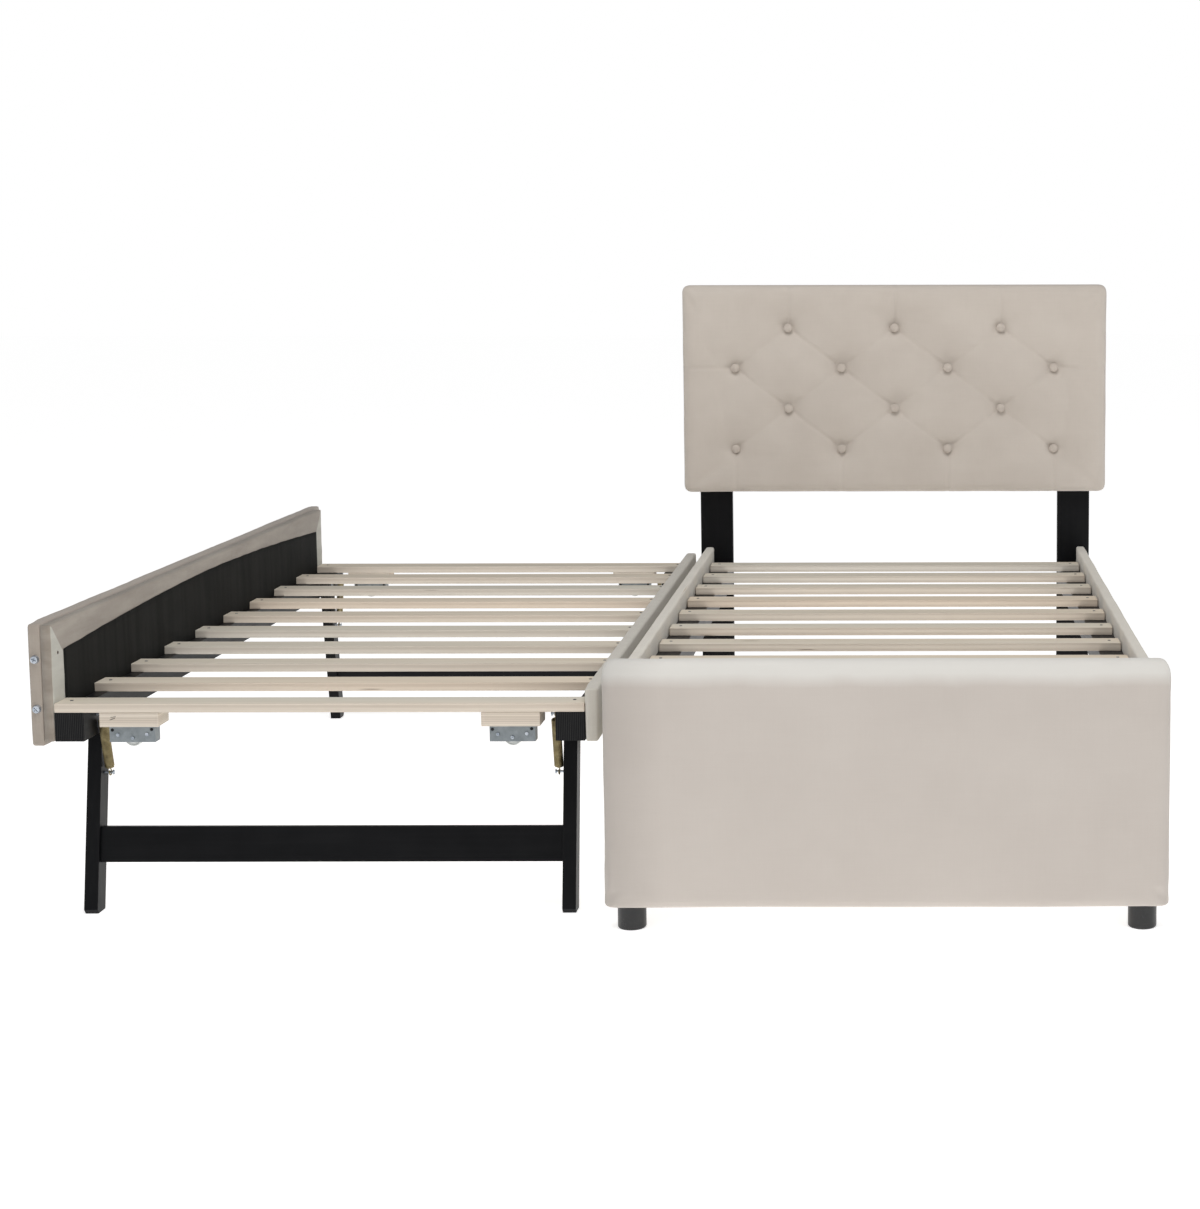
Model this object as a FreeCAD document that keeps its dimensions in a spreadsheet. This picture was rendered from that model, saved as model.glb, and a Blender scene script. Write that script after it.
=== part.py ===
"""Upholstered twin bed with a pop-up trundle, standing raised beside it.

Frame: +X from the trundle towards the main bed, +Y from foot to head, +Z up, millimetres.
The origin is on the floor, in the middle of the whole footprint.
"""
import FreeCAD, Part
import math
import os
import re
import Sketcher

DIMENSIONS = {
    # the two frames side by side
    "bed_axis": 511,            # middle of the main bed, across
    "bunk_axis": -538,          # middle of the trundle, across
    "half_long": 1020,          # from the middle to the face of the footboard
    # footboard
    "foot_wide": 1030,
    "foot_deep": 60,
    "foot_low": 48,
    "foot_top": 502,
    "foot_core": 22,            # its board
    "foot_pad_back": 10,        # padding behind that board
    "foot_pad_rim": 12,         # padding round its edges
    "foot_roll": 24,            # rounding along the top
    "knob_radius": 26.5,        # turned feet
    "knob_round": 4,
    "knob_setback": 32,
    "knob_spread": 470,
    # headboard
    "head_wide": 1120,
    "head_low": 600,
    "head_top": 1152,
    "head_deep": 46,
    "head_core": 15,
    "head_rim": 8,              # fabric and foam round the board's edges
    "head_corner": 22,
    "head_roll": 14,            # rounding of the padded face
    "post_wide": 86,            # flat legs behind the headboard
    "post_thick": 22,
    "post_spread": 481,
    "post_tall": 1080,
    # tufting: four rows of buttons, 3 and 4 in turn
    "button_radius": 12,
    "button_thick": 7,
    "button_pit": 18,           # depth of the pit that a button sits in
    "button_dome": 3,
    "button_pitch": 283,
    "button_row_1": 716,
    "button_row_2": 824,
    "button_row_3": 932,
    "button_row_4": 1038,
    # side rails of the main bed
    "rail_half": 511,           # from the bed's middle to the rail's outer face
    "rail_core": 18,
    "rail_skin": 2,
    "rail_low": 255,
    "rail_top": 447,
    "ledge_wide": 50,
    "ledge_tall": 55,
    # slats of both frames
    "slat_wide": 60,
    "slat_thick": 17,
    "slat_ease": 1.2,
    "main_slat_long": 972,
    "main_slat_top": 418,
    "main_slat_first": -951,
    "main_slat_pitch": 199,
    "bunk_slat_long": 980,
    "bunk_slat_top": 409,
    "bunk_slat_pitch": 204,
    # trundle frame
    "bunk_end": -935,           # foot end of the trundle
    "bunk_long": 1896,
    "side_thick": 27,           # outer rail board, and the end blocks inside it
    "side_tall": 54,
    "stop_long": 90,            # end block that a leg comes to rest against
    # tall upholstered front board and low back board of the trundle
    "front_low": 329,
    "front_long": 1950,         # the panel runs past the frame at the head end
    "front_top": 560,
    "front_thick": 25,
    "front_core": 17,
    "front_frame": 19,          # batten frame on the inner face
    "front_frame_low": 338,
    "front_batten": 48,
    "front_bolt_rise": 70,      # lower bolt, above the board's lower edge
    "front_bolt_drop": 68,      # upper bolt, below its upper edge
    "front_bolt_radius": 3,
    "front_bolt_long": 22,
    "front_bolt_head": 7,
    "front_bolt_proud": 2.5,
    "front_roll": 5,
    "lining_thick": 1.2,
    "back_low": 336,
    "back_top": 438,
    "back_thick": 25,
    "back_core": 17,
    # fold-down leg frames
    "hinge_inset": 117,         # from the trundle's end to the pivot
    "hinge_level": 365,
    "leg_lean": 10.5,           # degrees, foot outwards
    "leg_wide": 42,
    "leg_thick": 26,
    "side_gap": 0.3,
    "foot_chamfer": 9,
    "bar_tall": 67,             # crossbar
    "bar_thick": 27,
    "bar_level": 125,           # height of its middle above the floor
    "bolt_radius": 5,
    "bolt_fit": 0.05,
    "bolt_head": 9,
    "bolt_head_tall": 4,
    "bolt_plate": 1.4,          # flush nut plate on the inner face of the leg
    "bolt_plate_radius": 8,
    # springs that hold the legs open
    "spring_radius": 8.5,
    "spring_wire": 1.0,
    "spring_offset": 10.2,      # from the inner face of the leg to the spring's middle
    "peg_radius": 2.4,
    "peg_head": 4.6,
    "peg_head_tall": 2,
    "peg_long": 16,
    "peg_inset": 66,            # upper screw, from the trundle's end
    "peg_level": 376,
    "peg_down": 109,            # lower screw, down the leg from its pivot
    # rollers
    "roller_spread": 353,
    "roller_block_wide": 109,
    "roller_block_tall": 27,
    "roller_box_wide": 85,
    "roller_box_deep": 26,
    "roller_box_tall": 32,
    "roller_sheet": 2,
    "stud_radius": 2.2,
    "stud_proud": 1,
    "wheel_radius": 17,
    "wheel_wide": 19,
    "wheel_low": 324,           # underside of the wheels with the trundle raised
    "axle_radius": 3,
    "axle_fit": 0.08,
}

FLAT = FreeCAD.Rotation()
SIDES = {"left": -1, "right": 1}
ENDS = {"foot": 1, "head": -1}

doc = FreeCAD.newDocument("TrundleBed")
sheet = doc.addObject("Spreadsheet::Sheet", "Sizes")
for row, (alias, value) in enumerate(DIMENSIONS.items(), start=1):
    sheet.set(f"A{row}", alias)
    sheet.set(f"B{row}", str(value))
    sheet.setAlias(f"B{row}", alias)
doc.recompute()

nodes = []


def link(formula):
    """The same formula, with every named dimension read from the sheet."""
    def cell(word):
        name = word.group(0)
        return f"Sizes.{name}" if name in DIMENSIONS else name
    return re.sub(r"[a-z][a-z_0-9]*", cell, str(formula))


def size(name):
    """The number that the sheet holds for one dimension."""
    return float(getattr(sheet, name))


def bind(thing, **formulas):
    for key, formula in formulas.items():
        thing.setExpression(key, link(formula))


def put(thing, x, y, z):
    """Bind the place of a feature's own corner, centre or sketch origin."""
    for axis, formula in (("x", x), ("y", y), ("z", z)):
        thing.setExpression(f"Placement.Base.{axis}", link(formula))


def keep(thing, label):
    """Name a finished sub-part; its label is its file and its node."""
    thing.Label = label
    nodes.append(thing)
    return thing


def add(kind, name, **formulas):
    thing = doc.addObject(kind, name)
    bind(thing, **formulas)
    return thing


def block(name, x, y, z, wide, deep, tall):
    """A squared piece whose lowest corner is at x, y, z."""
    piece = add("Part::Box", name, Length=wide, Width=deep, Height=tall)
    put(piece, x, y, z)
    return piece


def rod(name, x, y, z, radius, long, axis="z"):
    """A round piece that starts at x, y, z and runs along an axis."""
    piece = add("Part::Cylinder", name, Radius=radius, Height=long)
    turns = {"x": (0, 1, 0, 90), "y": (1, 0, 0, -90), "z": (0, 0, 1, 0)}
    ax, ay, az, angle = turns[axis]
    piece.Placement.Rotation = FreeCAD.Rotation(FreeCAD.Vector(ax, ay, az), angle)
    put(piece, x, y, z)
    return piece


def cut(name, base, tool):
    piece = doc.addObject("Part::Cut", name)
    piece.Base = base
    piece.Tool = tool
    return piece


def join(name, pieces):
    piece = doc.addObject("Part::MultiFuse", name)
    piece.Shapes = pieces
    return piece


def group(name, pieces):
    piece = doc.addObject("Part::Compound", name)
    piece.Links = pieces
    return piece


def ease(name, base, radius, wanted=None):
    """Round the edges of a squared piece, all of them or the wanted ones."""
    doc.recompute()
    edges = [index for index, edge in enumerate(base.Shape.Edges, start=1)
             if wanted is None or wanted(edge)]
    piece = doc.addObject("Part::Fillet", name)
    piece.Base = base
    piece.Edges = [(index, size(radius), size(radius)) for index in edges]
    return piece


def along(direction):
    """A test for straight edges that run along one axis."""
    def test(edge):
        start, end = edge.Vertexes[0].Point, edge.Vertexes[-1].Point
        run = end - start
        return abs(getattr(run, direction)) > 0.999 * run.Length > 0
    return test


def new_body(name):
    return doc.addObject("PartDesign::Body", name)


def plane_sketch(body, plane, name):
    """A sketch on one of the body's own origin planes."""
    sketch = body.newObject("Sketcher::SketchObject", name)
    origin = next(item for item in body.Origin.OriginFeatures if item.Role == plane)
    sketch.AttachmentSupport = (origin, [""])
    sketch.MapMode = "FlatFace"
    return sketch


def fix_point(sketch, geometry, end, x, y):
    """Tie one point of a sketch to two formulas, measured from its origin."""
    for kind, formula in (("DistanceX", x), ("DistanceY", y)):
        index = sketch.addConstraint(Sketcher.Constraint(kind, -1, 1, geometry, end, 1.0))
        sketch.setExpression(f"Constraints[{index}]", link(formula))


def outline(sketch, corners):
    """A closed outline of straight lines through corners given as formulas."""
    count = len(corners)
    ring = [FreeCAD.Vector(20 * math.cos(math.tau * i / count), 20 * math.sin(math.tau * i / count), 0)
            for i in range(count)]
    first = sketch.GeometryCount
    for i in range(count):
        sketch.addGeometry(Part.LineSegment(ring[i], ring[(i + 1) % count]), False)
    for i in range(count):
        following = first + (i + 1) % count
        sketch.addConstraint(Sketcher.Constraint("Coincident", first + i, 2, following, 1))
    for i, (x, y) in enumerate(corners):
        fix_point(sketch, first + i, 1, x, y)


def circle(sketch, x, y, radius):
    index = sketch.addGeometry(Part.Circle(FreeCAD.Vector(1, 1, 0), FreeCAD.Vector(0, 0, 1), 2), False)
    fix_point(sketch, index, 3, x, y)
    bound = sketch.addConstraint(Sketcher.Constraint("Radius", index, 2.0))
    sketch.setExpression(f"Constraints[{bound}]", link(radius))


def pad(body, sketch, long, name, reverse=False):
    feature = body.newObject("PartDesign::Pad", name)
    feature.Profile = sketch
    feature.Reversed = reverse
    bind(feature, Length=long)
    return feature


def pocket(body, sketch, deep, name, reverse=False):
    """Cut a sketch out of the body, and make sure that it did cut."""
    doc.recompute()
    before = body.Shape.Volume
    feature = body.newObject("PartDesign::Pocket", name)
    feature.Profile = sketch
    feature.Reversed = reverse
    bind(feature, Length=deep)
    doc.recompute()
    if body.Shape.Volume > before - 1:
        raise RuntimeError(f"{name} removes nothing")
    return feature


def fillet(body, radius, name, wanted):
    """Round the edges of a body's newest feature that pass the test."""
    doc.recompute()
    base = body.Tip
    edges = [f"Edge{index}" for index, edge in enumerate(base.Shape.Edges, start=1) if wanted(edge)]
    feature = body.newObject("PartDesign::Fillet", name)
    feature.Base = (base, edges)
    bind(feature, Radius=radius)
    return feature


# ---------------------------------------------------------------- footboard
# A board wrapped in foam and fabric, soft and round along the top, on two turned feet.
FOOT_LEFT = "bed_axis - foot_wide / 2"
FOOT_FRONT = "-half_long"

foot_core = block(
    "FootCore", f"{FOOT_LEFT} + foot_pad_rim",
    f"{FOOT_FRONT} + foot_deep - foot_pad_back - foot_core", "foot_low + foot_pad_rim",
    "foot_wide - 2 * foot_pad_rim", "foot_core", "foot_top - foot_low - 2 * foot_pad_rim")
keep(foot_core, "footboard_board")

foot_block = block("FootBlock", FOOT_LEFT, FOOT_FRONT, "foot_low",
                   "foot_wide", "foot_deep", "foot_top - foot_low")


def on_top_of_footboard(edge):
    return along("x")(edge) and edge.BoundBox.ZMin > size("foot_top") - 1


foot_soft = ease("FootSoft", foot_block, "foot_roll", on_top_of_footboard)
keep(cut("FootPadding", foot_soft, foot_core), "footboard_padding")


def lower_rim(edge):
    return edge.Closed and edge.BoundBox.ZMax < 1


knobs = []
for side, sign in SIDES.items():
    knob = rod(f"Knob_{side}", f"bed_axis + {sign} * knob_spread",
               f"{FOOT_FRONT} + knob_setback", "0", "knob_radius", "foot_low")
    knobs.append(ease(f"KnobRound_{side}", knob, "knob_round", lower_rim))
keep(group("Knobs", knobs), "footboard_feet")

# ---------------------------------------------------------------- headboard
# A board with deep foam over its face, buttoned through, carried on two flat legs.
HEAD_BACK = "half_long - post_thick"
BUTTON_ROWS = [("button_row_1", 4), ("button_row_2", 3), ("button_row_3", 4), ("button_row_4", 3)]


def button_places():
    """Middle of each button as formulas: across from the bed's middle, and up."""
    for row, count in BUTTON_ROWS:
        for number in range(count):
            yield f"{number - (count - 1) / 2} * button_pitch", row


def head_outline(sketch, rim):
    outline(sketch, [(rim, rim), (f"head_wide - {rim}", rim),
                     (f"head_wide - {rim}", f"head_top - head_low - {rim}"),
                     (rim, f"head_top - head_low - {rim}")])


def upper_corner(edge):
    return along("y")(edge) and edge.BoundBox.ZMin > size("head_top") - size("head_low") - 20


head_core = new_body("HeadCore")
head_core_sketch = plane_sketch(head_core, "XZ_Plane", "HeadCoreSketch")
head_outline(head_core_sketch, "head_rim")
pad(head_core, head_core_sketch, "head_core", "HeadCorePad")
fillet(head_core, "head_corner - head_rim", "HeadCoreCorners", upper_corner)
put(head_core, "bed_axis - head_wide / 2", HEAD_BACK, "head_low")
keep(head_core, "headboard_board")

head_soft = new_body("HeadSoft")
head_soft_sketch = plane_sketch(head_soft, "XZ_Plane", "HeadSoftSketch")
head_outline(head_soft_sketch, "0")
pad(head_soft, head_soft_sketch, "head_deep", "HeadSoftPad")
fillet(head_soft, "head_corner", "HeadSoftCorners", upper_corner)


def around_the_face(edge):
    return edge.BoundBox.YMax < -size("head_deep") + 0.01


fillet(head_soft, "head_roll", "HeadSoftRoll", around_the_face)
pit_sketch = plane_sketch(head_soft, "XZ_Plane", "ButtonPits")
bind(pit_sketch, **{"AttachmentOffset.Base.z": "head_deep - button_pit"})
for across, row in button_places():
    circle(pit_sketch, f"head_wide / 2 + {across}", f"{row} - head_low", "button_radius + 1")
pocket(head_soft, pit_sketch, "button_pit + 5", "ButtonPitPocket", reverse=True)
put(head_soft, "bed_axis - head_wide / 2", HEAD_BACK, "head_low")
doc.recompute()
keep(cut("HeadPadding", head_soft, head_core), "headboard_padding")

BUTTON_FACE = f"{HEAD_BACK} - head_deep + button_pit - button_thick"
button_front = size("half_long") - size("post_thick") - size("head_deep") + size("button_pit")


def button_rim(edge):
    return edge.Closed and edge.BoundBox.YMax < button_front - size("button_thick") / 2


buttons = []
for number, (across, row) in enumerate(button_places(), start=1):
    button = rod(f"Button_{number}", f"bed_axis + {across}", BUTTON_FACE, row,
                 "button_radius", "button_thick", axis="y")
    buttons.append(ease(f"ButtonDome_{number}", button, "button_dome", button_rim))
keep(group("Buttons", buttons), "headboard_buttons")

for side, sign in SIDES.items():
    post = block(f"Post_{side}", f"bed_axis + {sign} * post_spread - post_wide / 2", HEAD_BACK, "0",
                 "post_wide", "post_thick", "post_tall")
    keep(ease(f"PostEased_{side}", post, "slat_ease"), f"headboard_leg_{side}")

# ---------------------------------------------------------------- side rails of the main bed
# Boards in fabric between the footboard and the legs of the headboard, with a beam inside each
# one that the slats lie on. The space below them is where the trundle is stored.
RAIL_START = "-half_long + foot_deep"
RAIL_LONG = "2 * half_long - foot_deep - post_thick"
for side, sign in SIDES.items():
    face = f"bed_axis + {sign} * (rail_half - rail_core / 2 - rail_skin)"
    rail = block(f"Rail_{side}", f"{face} - rail_core / 2", RAIL_START, "rail_low + rail_skin",
                 "rail_core", RAIL_LONG, "rail_top - rail_low - 2 * rail_skin")
    keep(rail, f"side_rail_{side}")
    wrap = block(f"RailWrap_{side}", f"{face} - rail_core / 2 - rail_skin", RAIL_START, "rail_low",
                 "rail_core + 2 * rail_skin", RAIL_LONG, "rail_top - rail_low")
    soft = ease(f"RailWrapSoft_{side}", wrap, "rail_skin", along("y"))
    keep(cut(f"RailCover_{side}", soft, rail), f"side_rail_{side}_cover")
    inner = f"bed_axis + {sign} * (rail_half - rail_core - 2 * rail_skin - ledge_wide / 2)"
    ledge = block(f"Ledge_{side}", f"{inner} - ledge_wide / 2", RAIL_START,
                  "main_slat_top - slat_thick - ledge_tall", "ledge_wide", RAIL_LONG, "ledge_tall")
    keep(ease(f"LedgeEased_{side}", ledge, "slat_ease"), f"ledger_{side}")

# ---------------------------------------------------------------- slats
# Laminated poplar slats, screwed down near their ends, ten on each frame.
SLATS = 10
for number in range(SLATS):
    slat = block(f"MainSlat_{number}", "bed_axis - main_slat_long / 2",
                 f"main_slat_first + {number} * main_slat_pitch", "main_slat_top - slat_thick",
                 "main_slat_long", "slat_wide", "slat_thick")
    keep(ease(f"MainSlatEased_{number}", slat, "slat_ease"), f"main_slat_{number + 1:02d}")
    slat = block(f"BunkSlat_{number}", "bunk_axis - bunk_slat_long / 2",
                 f"bunk_end + {number} * bunk_slat_pitch", "bunk_slat_top - slat_thick",
                 "bunk_slat_long", "slat_wide", "slat_thick")
    keep(ease(f"BunkSlatEased_{number}", slat, "slat_ease"), f"trundle_slat_{number + 1:02d}")

# ---------------------------------------------------------------- trundle rails
# Each side is one long board; a short block inside each end makes it double, and is the stop
# that the leg leans against.
SIDE_LOW = "bunk_slat_top - slat_thick - side_tall"
SIDE_HALF = "bunk_slat_long / 2"


def end_place(end, inset):
    """Distance along the bed of a point set in from one end of the trundle."""
    return f"bunk_end + {inset}" if end == "foot" else f"bunk_end + bunk_long - ({inset})"


def lowest_x(side, far, wide):
    """Left face of a piece whose outer face is at distance far from the trundle's middle."""
    return f"bunk_axis - ({far})" if side == "left" else f"bunk_axis + {far} - ({wide})"


fasteners = []
for side in SIDES:
    board = block(f"Side_{side}", lowest_x(side, SIDE_HALF, "side_thick"), "bunk_end", SIDE_LOW,
                  "side_thick", "bunk_long", "side_tall")
    bolts = []
    for end in ENDS:
        middle = end_place(end, "hinge_inset")
        deep = "side_thick + leg_thick + 2 * side_gap - bolt_head_tall + bolt_plate"
        head = rod(f"BoltHead_{side}_{end}", lowest_x(side, SIDE_HALF, "bolt_head_tall"), middle,
                   "hinge_level", "bolt_head", "bolt_head_tall", axis="x")
        shank = rod(f"BoltShank_{side}_{end}",
                    lowest_x(side, f"{SIDE_HALF} - bolt_head_tall", deep), middle,
                    "hinge_level", "bolt_radius", deep, axis="x")
        bolts += [head, shank]
    bored = cut(f"SideBored_{side}", board, join(f"SideBores_{side}", bolts))
    keep(bored, f"rail_{side}")
    for end in ENDS:
        plate = rod(f"BoltPlate_{side}_{end}",
                    lowest_x(side, f"{SIDE_HALF} - side_thick - leg_thick - 2 * side_gap",
                             "bolt_plate"),
                    end_place(end, "hinge_inset"), "hinge_level", "bolt_plate_radius",
                    "bolt_plate", axis="x")
        head, shank = bolts[0:2] if end == "foot" else bolts[2:4]
        fasteners.append(join(f"Bolt_{side}_{end}", [head, shank, plate]))

stops = []
for side in SIDES:
    for end in ENDS:
        start = "bunk_end" if end == "foot" else "bunk_end + bunk_long - stop_long"
        stop = block(f"Stop_{side}_{end}",
                     lowest_x(side, f"{SIDE_HALF} - side_thick", "side_thick"), start, SIDE_LOW,
                     "side_thick", "stop_long", "side_tall")
        stops.append(ease(f"StopEased_{side}_{end}", stop, "slat_ease", along("y")))
        inner = f"{SIDE_HALF} - 2 * side_thick"
        pin = rod(f"PegHigh_{side}_{end}", lowest_x(side, inner, "peg_long"),
                  end_place(end, "peg_inset"), "peg_level", "peg_radius", "peg_long", axis="x")
        cap = rod(f"PegHighCap_{side}_{end}", lowest_x(side, f"{inner} - peg_long", "peg_head_tall"),
                  end_place(end, "peg_inset"), "peg_level", "peg_head", "peg_head_tall", axis="x")
        fasteners.append(join(f"PegHighWhole_{side}_{end}", [pin, cap]))
keep(group("Stops", stops), "rail_end_blocks")
keep(group("TrundleFasteners", fasteners), "trundle_fasteners")

# ---------------------------------------------------------------- front board of the trundle
# A tall panel in padded fabric, stiffened inside by a batten frame that carries a black lining.
FRAME_OUT = f"{SIDE_HALF} + front_frame"
PANEL_OUT = f"{FRAME_OUT} + front_thick"
PANEL_SKIN = "(front_thick - front_core) / 2"
front_core = block("FrontCore", f"bunk_axis - ({PANEL_OUT}) + {PANEL_SKIN}",
                   f"bunk_end + {PANEL_SKIN}", f"front_low + {PANEL_SKIN}", "front_core",
                   f"front_long - 2 * {PANEL_SKIN}", f"front_top - front_low - 2 * {PANEL_SKIN}")
front_wrap = block("FrontWrap", f"bunk_axis - ({PANEL_OUT})", "bunk_end", "front_low",
                   "front_thick", "front_long", "front_top - front_low")
front_soft = ease("FrontSoft", front_wrap, "front_roll")

front_bolts = []
bolt_line = f"bunk_axis - ({PANEL_OUT}) + front_thick / 2"
for end, way in ENDS.items():
    for level in ("front_low + front_bolt_rise", "front_top - front_bolt_drop"):
        tag = len(front_bolts)
        near = "bunk_end" if end == "foot" else "bunk_end + front_long"
        start = near if end == "foot" else f"{near} - front_bolt_long"
        shank = rod(f"FrontBolt_{tag}", bolt_line, start, level, "front_bolt_radius",
                    "front_bolt_long", axis="y")
        start = f"{near} - front_bolt_proud" if end == "foot" else near
        head = rod(f"FrontBoltHead_{tag}", bolt_line, start, level, "front_bolt_head",
                   "front_bolt_proud", axis="y")
        front_bolts.append(join(f"FrontBoltWhole_{tag}", [shank, head]))
bolt_group = group("FrontBolts", front_bolts)
keep(cut("FrontCoreBored", front_core, bolt_group), "front_board")
front_inside = join("FrontInside", [front_core, bolt_group])
keep(cut("FrontCover", front_soft, front_inside), "front_cover")
keep(bolt_group, "front_bolts")

frame_solid = block("FrameSolid", f"bunk_axis - ({FRAME_OUT})", "bunk_end", "front_frame_low",
                    "front_frame", "bunk_long", "front_top - front_roll - front_frame_low")
frame_window = block("FrameWindow", f"bunk_axis - ({FRAME_OUT}) - 1", "bunk_end + front_batten",
                     "front_frame_low + front_batten", "front_frame + 2",
                     "bunk_long - 2 * front_batten",
                     "front_top - front_roll - front_frame_low - 2 * front_batten")
keep(cut("FrontFrame", frame_solid, frame_window), "front_frame")

lining = new_body("Lining")
lining_sketch = plane_sketch(lining, "YZ_Plane", "LiningSketch")
outline(lining_sketch, [
    ("0", "0"), ("bunk_long - 2 * front_batten", "0"),
    ("bunk_long - 2 * front_batten", "front_top - front_frame_low - 2 * front_batten - front_roll"),
    ("0", "front_top - front_frame_low - 2 * front_batten - front_roll")])
pad(lining, lining_sketch, "lining_thick", "LiningPad")
put(lining, f"bunk_axis - ({SIDE_HALF}) - lining_thick", "bunk_end + front_batten",
    "front_frame_low + front_batten")
keep(lining, "front_lining")

# ---------------------------------------------------------------- back board of the trundle
BACK_SKIN = "(back_thick - back_core) / 2"
back_core = block("BackCore", f"bunk_axis + {SIDE_HALF} + {BACK_SKIN}", f"bunk_end + {BACK_SKIN}",
                  f"back_low + {BACK_SKIN}", "back_core", f"bunk_long - 2 * {BACK_SKIN}",
                  f"back_top - back_low - 2 * {BACK_SKIN}")
keep(back_core, "back_board")
back_wrap = block("BackWrap", f"bunk_axis + {SIDE_HALF}", "bunk_end", "back_low",
                  "back_thick", "bunk_long", "back_top - back_low")
keep(cut("BackCover", ease("BackSoft", back_wrap, "front_roll"), back_core), "back_cover")

# ---------------------------------------------------------------- fold-down leg frames
# Two legs and a crossbar at each end. A leg is drawn hanging straight down from its pivot, and
# is then turned so that its foot stands outwards and its end lies flat on the floor.
LEAN = "leg_lean * 1 deg"


def on_leg_faces(edge):
    """Edges that run round the leg's two broad faces."""
    box = edge.BoundBox
    return box.XMax < 0.01 or box.XMin > size("leg_thick") - 0.01


def leg_body(name):
    """One leg, pivot at the origin; sketch x points inwards and y up."""
    half = "leg_wide / 2"
    body = new_body(name)
    shaft = plane_sketch(body, "YZ_Plane", f"{name}_shaft")
    short = f"(hinge_level - {half} * sin({LEAN})) / cos({LEAN})"
    long = f"(hinge_level + {half} * sin({LEAN})) / cos({LEAN})"
    rise = f"foot_chamfer * cos({LEAN})"
    outline(shaft, [
        (half, "0"), (f"-{half}", "0"), (f"-{half}", f"-({long}) + foot_chamfer"),
        (f"-{half} + {rise}", f"-({long}) + foot_chamfer * sin({LEAN})"),
        (half, f"-({short})")])
    pad(body, shaft, "leg_thick", f"{name}_bar")
    top = plane_sketch(body, "YZ_Plane", f"{name}_top")
    circle(top, "0", "0", half)
    pad(body, top, "leg_thick", f"{name}_head")
    fillet(body, "slat_ease", f"{name}_eased", on_leg_faces)
    bore = plane_sketch(body, "YZ_Plane", f"{name}_bore")
    circle(bore, "0", "0", "bolt_radius + bolt_fit")
    pocket(body, bore, "leg_thick", f"{name}_hole", reverse=True)
    return body


def lean_turn(end, mirrored=True):
    """Turn of a leg that hangs from its pivot: foot outwards at either end."""
    turn = FreeCAD.Rotation(FreeCAD.Vector(1, 0, 0), -size("leg_lean"))
    if end == "head" and mirrored:
        turn = FreeCAD.Rotation(FreeCAD.Vector(0, 0, 1), 180).multiply(turn)
    return turn


def down_leg(end, distance, inwards="0"):
    """Formulas for a point down the leg from its pivot, and inwards of its middle line."""
    along_bed = end_place(end, f"hinge_inset - ({distance}) * sin({LEAN}) + ({inwards}) * cos({LEAN})")
    return along_bed, f"hinge_level - ({distance}) * cos({LEAN}) - ({inwards}) * sin({LEAN})"


LEG_FACE = f"{SIDE_HALF} - side_thick - side_gap"
for end in ENDS:
    pegs = []
    for side in SIDES:
        leg = leg_body(f"Leg_{end}_{side}")
        leg.Placement.Rotation = lean_turn(end)
        left = lowest_x(side, LEG_FACE, "leg_thick")
        start = left if end == "foot" else f"{left} + leg_thick"
        put(leg, start, end_place(end, "hinge_inset"), "hinge_level")
        keep(leg, f"{end}_leg_{side}")
        y, z = down_leg(end, "peg_down")
        inner = f"{LEG_FACE} - leg_thick"
        pin = rod(f"PegLow_{end}_{side}", lowest_x(side, inner, "peg_long"), y, z,
                  "peg_radius", "peg_long", axis="x")
        cap = rod(f"PegLowCap_{end}_{side}", lowest_x(side, f"{inner} - peg_long", "peg_head_tall"),
                  y, z, "peg_head", "peg_head_tall", axis="x")
        pegs.append(join(f"PegLowWhole_{end}_{side}", [pin, cap]))
    keep(group(f"Pegs_{end}", pegs), f"{end}_spring_pegs")

    bar = add("Part::Box", f"Bar_{end}", Length=f"2 * ({LEG_FACE} - leg_thick)",
              Width="bar_thick", Height="bar_tall")
    bar.Placement.Rotation = lean_turn(end)
    reach = f"(hinge_level - bar_level) / cos({LEAN}) + bar_tall / 2"
    y, z = down_leg(end, reach, "-bar_thick / 2")
    start = f"{LEG_FACE} - leg_thick"
    put(bar, f"bunk_axis - ({start})" if end == "foot" else f"bunk_axis + {start}", y, z)
    keep(ease(f"BarEased_{end}", bar, "slat_ease"), f"{end}_crossbar")

# ---------------------------------------------------------------- springs of the legs
# A close-wound spring beside each leg, hooked over a screw in the end block and one in the leg.


def spring_shape(across, high, low):
    """Coil as a thick tube, with a ring at each end that goes round its screw."""
    top = FreeCAD.Vector(across, *high)
    bottom = FreeCAD.Vector(across, *low)
    run = bottom - top
    way = FreeCAD.Vector(run).normalize()
    wire = size("spring_wire")
    ring = size("peg_radius") + 1.6 + wire
    start = top + way * (ring + 4)
    long = run.Length - 2 * (ring + 4)
    coil = Part.makeCylinder(size("spring_radius"), long, start, way)
    coil = coil.cut(Part.makeCylinder(size("spring_radius") - 2.6 * wire, long, start, way))
    side_way = FreeCAD.Vector(1, 0, 0)
    pieces = [coil]
    for middle, towards in ((top, way), (bottom, way * -1)):
        pieces.append(Part.makeTorus(ring, wire, middle, side_way))
        neck = middle + towards * ring
        pieces.append(Part.makeCylinder(wire, 4.5, neck, towards))
        disc_start = middle + towards * (ring + 4)
        pieces.append(Part.makeCylinder(size("spring_radius") - 0.5, 1.6, disc_start, towards))
    return pieces[0].fuse(pieces[1:])


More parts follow.
